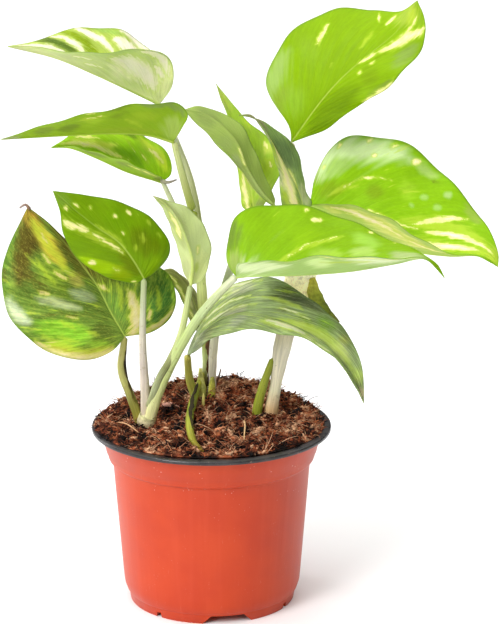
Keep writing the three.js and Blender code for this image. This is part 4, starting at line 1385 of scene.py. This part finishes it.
def soil_fibres(crumb, name, amount, seed, length, radius, rise, steps):
    """Loose coir: curled fibres that lie on the bed and in it, some of them standing out."""
    draw = np.random.default_rng(seed)
    angle = draw.uniform(0, TURN, amount)
    share = np.sqrt(draw.uniform(0, 1, amount))
    x, y = np.cos(angle), np.sin(angle)
    reach = soil_edge(x, y) * share
    x, y = reach * x, reach * y
    bearing = draw.uniform(0, TURN, amount)
    headings = unit(np.stack([np.cos(bearing), np.sin(bearing), draw.uniform(*rise, amount)], -1))
    lengths = draw.uniform(*length, amount)
    ends = np.stack([x, y], -1) + headings[:, :2] * lengths[:, None]
    outside = np.hypot(*ends.T) > soil_edge(*ends.T)
    headings[outside, :2] *= -1
    starts = np.stack([x, y, crumb.ground(x, y) + draw.uniform(-0.5, 0.6, amount)], -1)
    radii = draw.uniform(*radius, amount)
    bends = draw.uniform(-FIBRE_BEND, FIBRE_BEND, amount)
    points, faces = strands(starts, headings, lengths, radii, bends, steps)
    tints = crumb.tint(x, y, draw.uniform(-0.4, 0.36, amount)) * draw.uniform(0.6, 1.15, (amount, 1))
    shape = Shape()
    shape.add(points, faces, np.repeat(tints, (steps + 1) * 3, axis=0))
    settle(shape.build(name, matt_material(name, 1500.0, 0.3)), [])


def chip(draw, length, width, depth):
    """The corners of a broken bit of husk round its middle, at any angle."""
    long, wide, deep = draw.uniform(*length), draw.uniform(*width), draw.uniform(*depth)
    corners = []
    for end in CHIP_ENDS:
        narrow = 1 - 0.5 * end**2
        for u, v in CHIP_CORNERS:
            wobble = [draw.uniform(-CHIP_WOBBLE, CHIP_WOBBLE) * wide for _ in range(3)]
            corner = (end * long, u * wide * narrow, v * deep * narrow)
            corners.append([c / 2 + w for c, w in zip(corner, wobble)])
    yaw, pitch, roll = draw.uniform(0, 6.28), draw.uniform(-0.9, 0.9), draw.uniform(-1.2, 1.2)
    turn = np.array(Euler((roll, pitch, yaw)).to_matrix())
    return np.array(corners) @ turn.T


def soil_chips(crumb, name, amount, seed, length, width, depth):
    """Broken bits of husk strewn over the soil."""
    draw = random.Random(seed)
    shape = Shape()
    faces = tube_faces(len(CHIP_ENDS), len(CHIP_CORNERS))
    for _ in range(amount):
        share, angle = math.sqrt(draw.random()), draw.uniform(0, TURN)
        x, y = math.cos(angle), math.sin(angle)
        reach = share * (soil_edge(x, y) - 0.8)
        x, y = reach * x, reach * y
        corners = chip(draw, length, width, depth)
        middle = (x, y, crumb.ground(x, y) + draw.uniform(-0.3, 0.7))
        tint = crumb.tint(x, y, draw.uniform(-0.4, 0.34)) * draw.uniform(0.6, 1.15)
        shape.add(corners + middle, faces, tint)
    settle(shape.build(name, matt_material(name, 700.0, 0.35)), [])


# Splinters that stand out of the soil: a route in millimetres, radii and a colour.

SPLINTERS = {
    "twig": ([(6, 44, 97), (7, 40, 103), (8, 34, 103), (9, 31, 99)], [0.9, 0.8, 0.6, 0.4], "#54342a"),
    "twig_end": ([(2, 30, 101), (4, 33, 106), (5, 36, 109)], [0.5, 0.5, 0.3], "#60402e"),
    "spike_left": ([(28, 30, 99), (29, 31, 104), (30, 31, 107)], [0.9, 0.6, 0.2], "#74442e"),
    "spike_right": ([(33, 28, 97), (34, 29, 102), (36, 30, 105)], [0.8, 0.6, 0.2], "#7c4c34"),
    "pink_chip": ([(-25.6, 17, 95.2), (-21, 13, 96.8), (-15.9, 9.2, 96.4)], [0.7, 1.3, 0.6], "#d09a88"),
    "straw": ([(16.2, -7, 95), (16.6, -16, 95.6), (15.9, -29.2, 92)], [0.35, 0.45, 0.3], "#d8b080"),
    "straw_left": ([(-48, -6, 94), (-42, -14, 95.4), (-36, -20, 93)], [0.3, 0.4, 0.3], "#c89a70"),
}


def soil_splinters():
    shape = Shape()
    for route, radii, colour in SPLINTERS.values():
        rod(shape, route, radii, [colour, colour], sides=8, groove=0.3)
    settle(shape.build("soil_splinters", matt_material("soil_splinters", 900.0, 0.3)), [])


# Pot, in millimetres and degrees: a thin shell turned round Z, with notches in its foot and drain holes.

POT_SIDES = 192
FOOT_RADIUS = 41.6
FLOOR_UNDERSIDE = 4.6
WIDE_NOTCH = dict(width=16.5, height=4.2, flare=4.2)
SMALL_NOTCH = dict(width=2.4, height=2.6, flare=0.4)
WIDE_NOTCH_BEARINGS = [10.5, 190.5]
SMALL_NOTCH_TURN = 50
NOTCH_HALF_DEPTH = 4
DRAIN_TURN = 60
DRAIN_REACH = 30
DRAIN_HOLE = dict(segments=24, radius1=3.2, radius2=3.2, depth=12)
SHARP_FROM = 38

OUTSIDE = [
    (0, 0), (9.7, 0), (10, 0.1), (10.3, 0.5), (12, 4.4), (12.4, 4.6), (40.1, 4.6), (40.4, 4.3), (40.4, 0.2),
    (40.6, 0), (41.4, 0), (41.6, 0.2), (42.25, 4.5), (42.45, 4.95), (42.9, 5.35), (43.3, 5.9), (44.1, 8.2),
    (44.5, 9.8), (44.7, 11.6), (45, 15), (46.2, 30), (47.4, 45), (48.6, 60), (49.6, 72.6), (49.75, 73.3),
    (50.1, 73.8), (51.1, 74.25), (51.65, 74.75), (51.9, 75.4), (52.6, 78.2), (52.95, 78.5), (53.9, 82.4),
    (54.2, 82.7), (55.1, 86.6), (55.6, 87.7),
]
RIM = [
    (56, 88.3), (56.5, 88.75), (57.2, 88.95), (59.4, 89), (59.8, 89.1), (60, 89.4), (60, 90.2),
    (59.9, 90.55), (59.65, 90.85), (59.2, 91), (56.2, 91), (55.6, 90.9), (55.1, 90.6), (54.7, 90),
    (54.3, 88.8), (52.4, 81.8), (51.1, 77.2), (50.7, 75.9), (50.2, 75.1), (49.2, 74.5), (48.6, 73.9),
    (48.4, 73.2), (46.1, 45), (43.8, 15), (43.5, 12), (43.1, 9.8), (42.6, 8.3), (41.9, 6.9), (41.2, 6.1),
    (40.4, 5.8), (13, 5.8), (12.4, 5.4), (11.3, 1.8), (10.8, 1.3), (10, 1.2), (0, 1.2),
]


def turn_about_z(vert, bearing, x, y, z):
    """Sets a vertex, given in millimetres with -Y ahead, at a bearing counted from the front towards +X."""
    turn = math.radians(bearing)
    place = (x * math.cos(turn) - y * math.sin(turn), x * math.sin(turn) + y * math.cos(turn), z)
    vert.co = [c * MM for c in place]


def foot_block(work, bearing, width, height, flare):
    """A block across the foot ring that widens downwards by flare on each side."""
    for vert in bmesh.ops.create_cube(work, size=2)["verts"]:
        half = width / 2 + (2 * flare if vert.co.z < 0 else 0)
        y = vert.co.y * NOTCH_HALF_DEPTH - FOOT_RADIUS
        turn_about_z(vert, bearing, vert.co.x * half, y, vert.co.z * height)


def drain_hole(work, bearing):
    for vert in bmesh.ops.create_cone(work, cap_ends=True, **DRAIN_HOLE)["verts"]:
        turn_about_z(vert, bearing, vert.co.x, vert.co.y - DRAIN_REACH, vert.co.z + FLOOR_UNDERSIDE)


def notches():
    """One object of all that is cut out of the pot."""
    work = bmesh.new()
    for bearing in WIDE_NOTCH_BEARINGS:
        foot_block(work, bearing, **WIDE_NOTCH)
        for turn in (-SMALL_NOTCH_TURN, SMALL_NOTCH_TURN):
            foot_block(work, bearing + turn, **SMALL_NOTCH)
        for turn in (-DRAIN_TURN, 0, DRAIN_TURN):
            drain_hole(work, bearing + turn)
    mesh = bpy.data.meshes.new("notches")
    work.to_mesh(mesh)
    work.free()
    return placed("notches", mesh)


def cut(thing, cutter):
    """Subtracts one mesh object from another and removes it."""
    modifier = thing.modifiers.new("cut", "BOOLEAN")
    modifier.operation, modifier.solver, modifier.object = "DIFFERENCE", "EXACT", cutter
    bpy.context.view_layer.update()
    result = bpy.data.meshes.new_from_object(thing.evaluated_get(bpy.context.evaluated_depsgraph_get()))
    thing.modifiers.clear()
    thing.data = result
    bpy.data.objects.remove(cutter)


def pot():
    profile = [*OUTSIDE, *RIM]
    angle = np.arange(POT_SIDES) * TURN / POT_SIDES
    points, faces = lofted([ring_at(radius, z, angle) for radius, z in profile], POT_SIDES)
    thing = mesh_object("pot_shell", points, faces, {}, [pot_material(), rim_material()])
    black = np.repeat(np.arange(len(profile) - 1) >= len(OUTSIDE) - 1, POT_SIDES)
    thing.data.polygons.foreach_set("material_index", black.astype(np.int32))
    cut(thing, notches())
    thing.data.set_sharp_from_angle(angle=math.radians(SHARP_FROM))
    settle(thing, ["pot"])


# Studio, in metres and degrees.

MIDDLE = (0.02, 0, 0.17)
KEY_PLACE = (-0.9, -1.1, 1.15)
KEY_STRENGTH = 2.0
KEY_SPREAD = 28
STRIPS = {"strip_front": ((-1.0, -1.25, 0.5), 4), "strip_side": ((-1.35, 0.87, 0.5), 6)}
STRIP_WIDTH = 0.22
STRIP_HEIGHT = 1.0
SKY_OVERHEAD = (0.3, 0.9, 0.1, 2.1)
SKY_ASIDE = (-0.9, 0.9, 1.2, 0.68)
FLOOR_SIZE = 12
FLOOR_PLACE = (0, 3, 0)
CAMERA_PLACE = (0, -1.3, 0.517)
CAMERA_TARGET = (0.0193, 0, 0.149)
CAMERA_LENS = 157.15


def aimed(name, data, place, target):
    """An object at a place that looks towards a target."""
    thing = placed(name, data)
    thing.location = place
    thing.rotation_euler = (Vector(target) - thing.location).to_track_quat("-Z", "Y").to_euler()
    return thing


def floor():
    bpy.ops.mesh.primitive_plane_add(size=FLOOR_SIZE, location=FLOOR_PLACE)
    thing = bpy.context.object
    thing.name = "floor"
    thing.data.materials.append(floor_material())


def lights():
    """A broad sun from the upper left front, and tall softboxes for the upright highlights on the pot."""
    key = bpy.data.lights.new("key", "SUN")
    key.angle, key.energy = math.radians(KEY_SPREAD), KEY_STRENGTH
    aimed("key", key, KEY_PLACE, MIDDLE)
    for name, (place, power) in STRIPS.items():
        strip = bpy.data.lights.new(name, "AREA")
        strip.shape, strip.size, strip.size_y, strip.energy = "RECTANGLE", STRIP_WIDTH, STRIP_HEIGHT, power
        aimed(name, strip, place, MIDDLE)


def sky():
    """A dark studio with a broad softbox overhead, brighter on the left."""
    g = Graph("studio", bpy.data.worlds, "Background")
    x, _, z = g.split(g.node("TexCoord", {}, "Generated"))
    g.set(Color=(1, 1, 1, 1), Strength=z.step(*SKY_OVERHEAD) * x.step(*SKY_ASIDE))
    bpy.context.scene.world = g.block


def camera():
    """The photograph's view: slightly above, from the front, through a long lens."""
    data = bpy.data.cameras.new("camera")
    data.lens = CAMERA_LENS
    bpy.context.scene.camera = aimed("camera", data, CAMERA_PLACE, CAMERA_TARGET)
    bpy.context.scene.view_settings.view_transform = "Standard"


for seed, (name, leaf) in enumerate(LEAVES.items()):
    blade(name, leaf, seed)
for name, stalks in SHOOTS.items():
    shoot(name, stalks)
dry_sheaths()
crumb = Crumb()
soil_bed(crumb)
soil_chips(crumb, "soil_crumbs", 3800, 2, length=(0.9, 3.2), width=(0.6, 1.8), depth=(0.5, 1.4))
soil_chips(crumb, "soil_chips", 320, 3, length=(3, 7), width=(0.9, 2.2), depth=(0.4, 0.9))
soil_fibres(crumb, "soil_felt", 6800, 4, length=(1.2, 3.6), radius=(0.12, 0.3), rise=(-0.1, 0.7), steps=3)
soil_fibres(crumb, "soil_fibres", 3800, 5, length=(3, 8), radius=(0.09, 0.2), rise=(-0.1, 0.7), steps=5)
soil_fibres(crumb, "soil_long_fibres", 120, 6, length=(8, 15), radius=(0.14, 0.26), rise=(0.1, 0.9), steps=8)
soil_splinters()
pot()
floor()
lights()
sky()
camera()
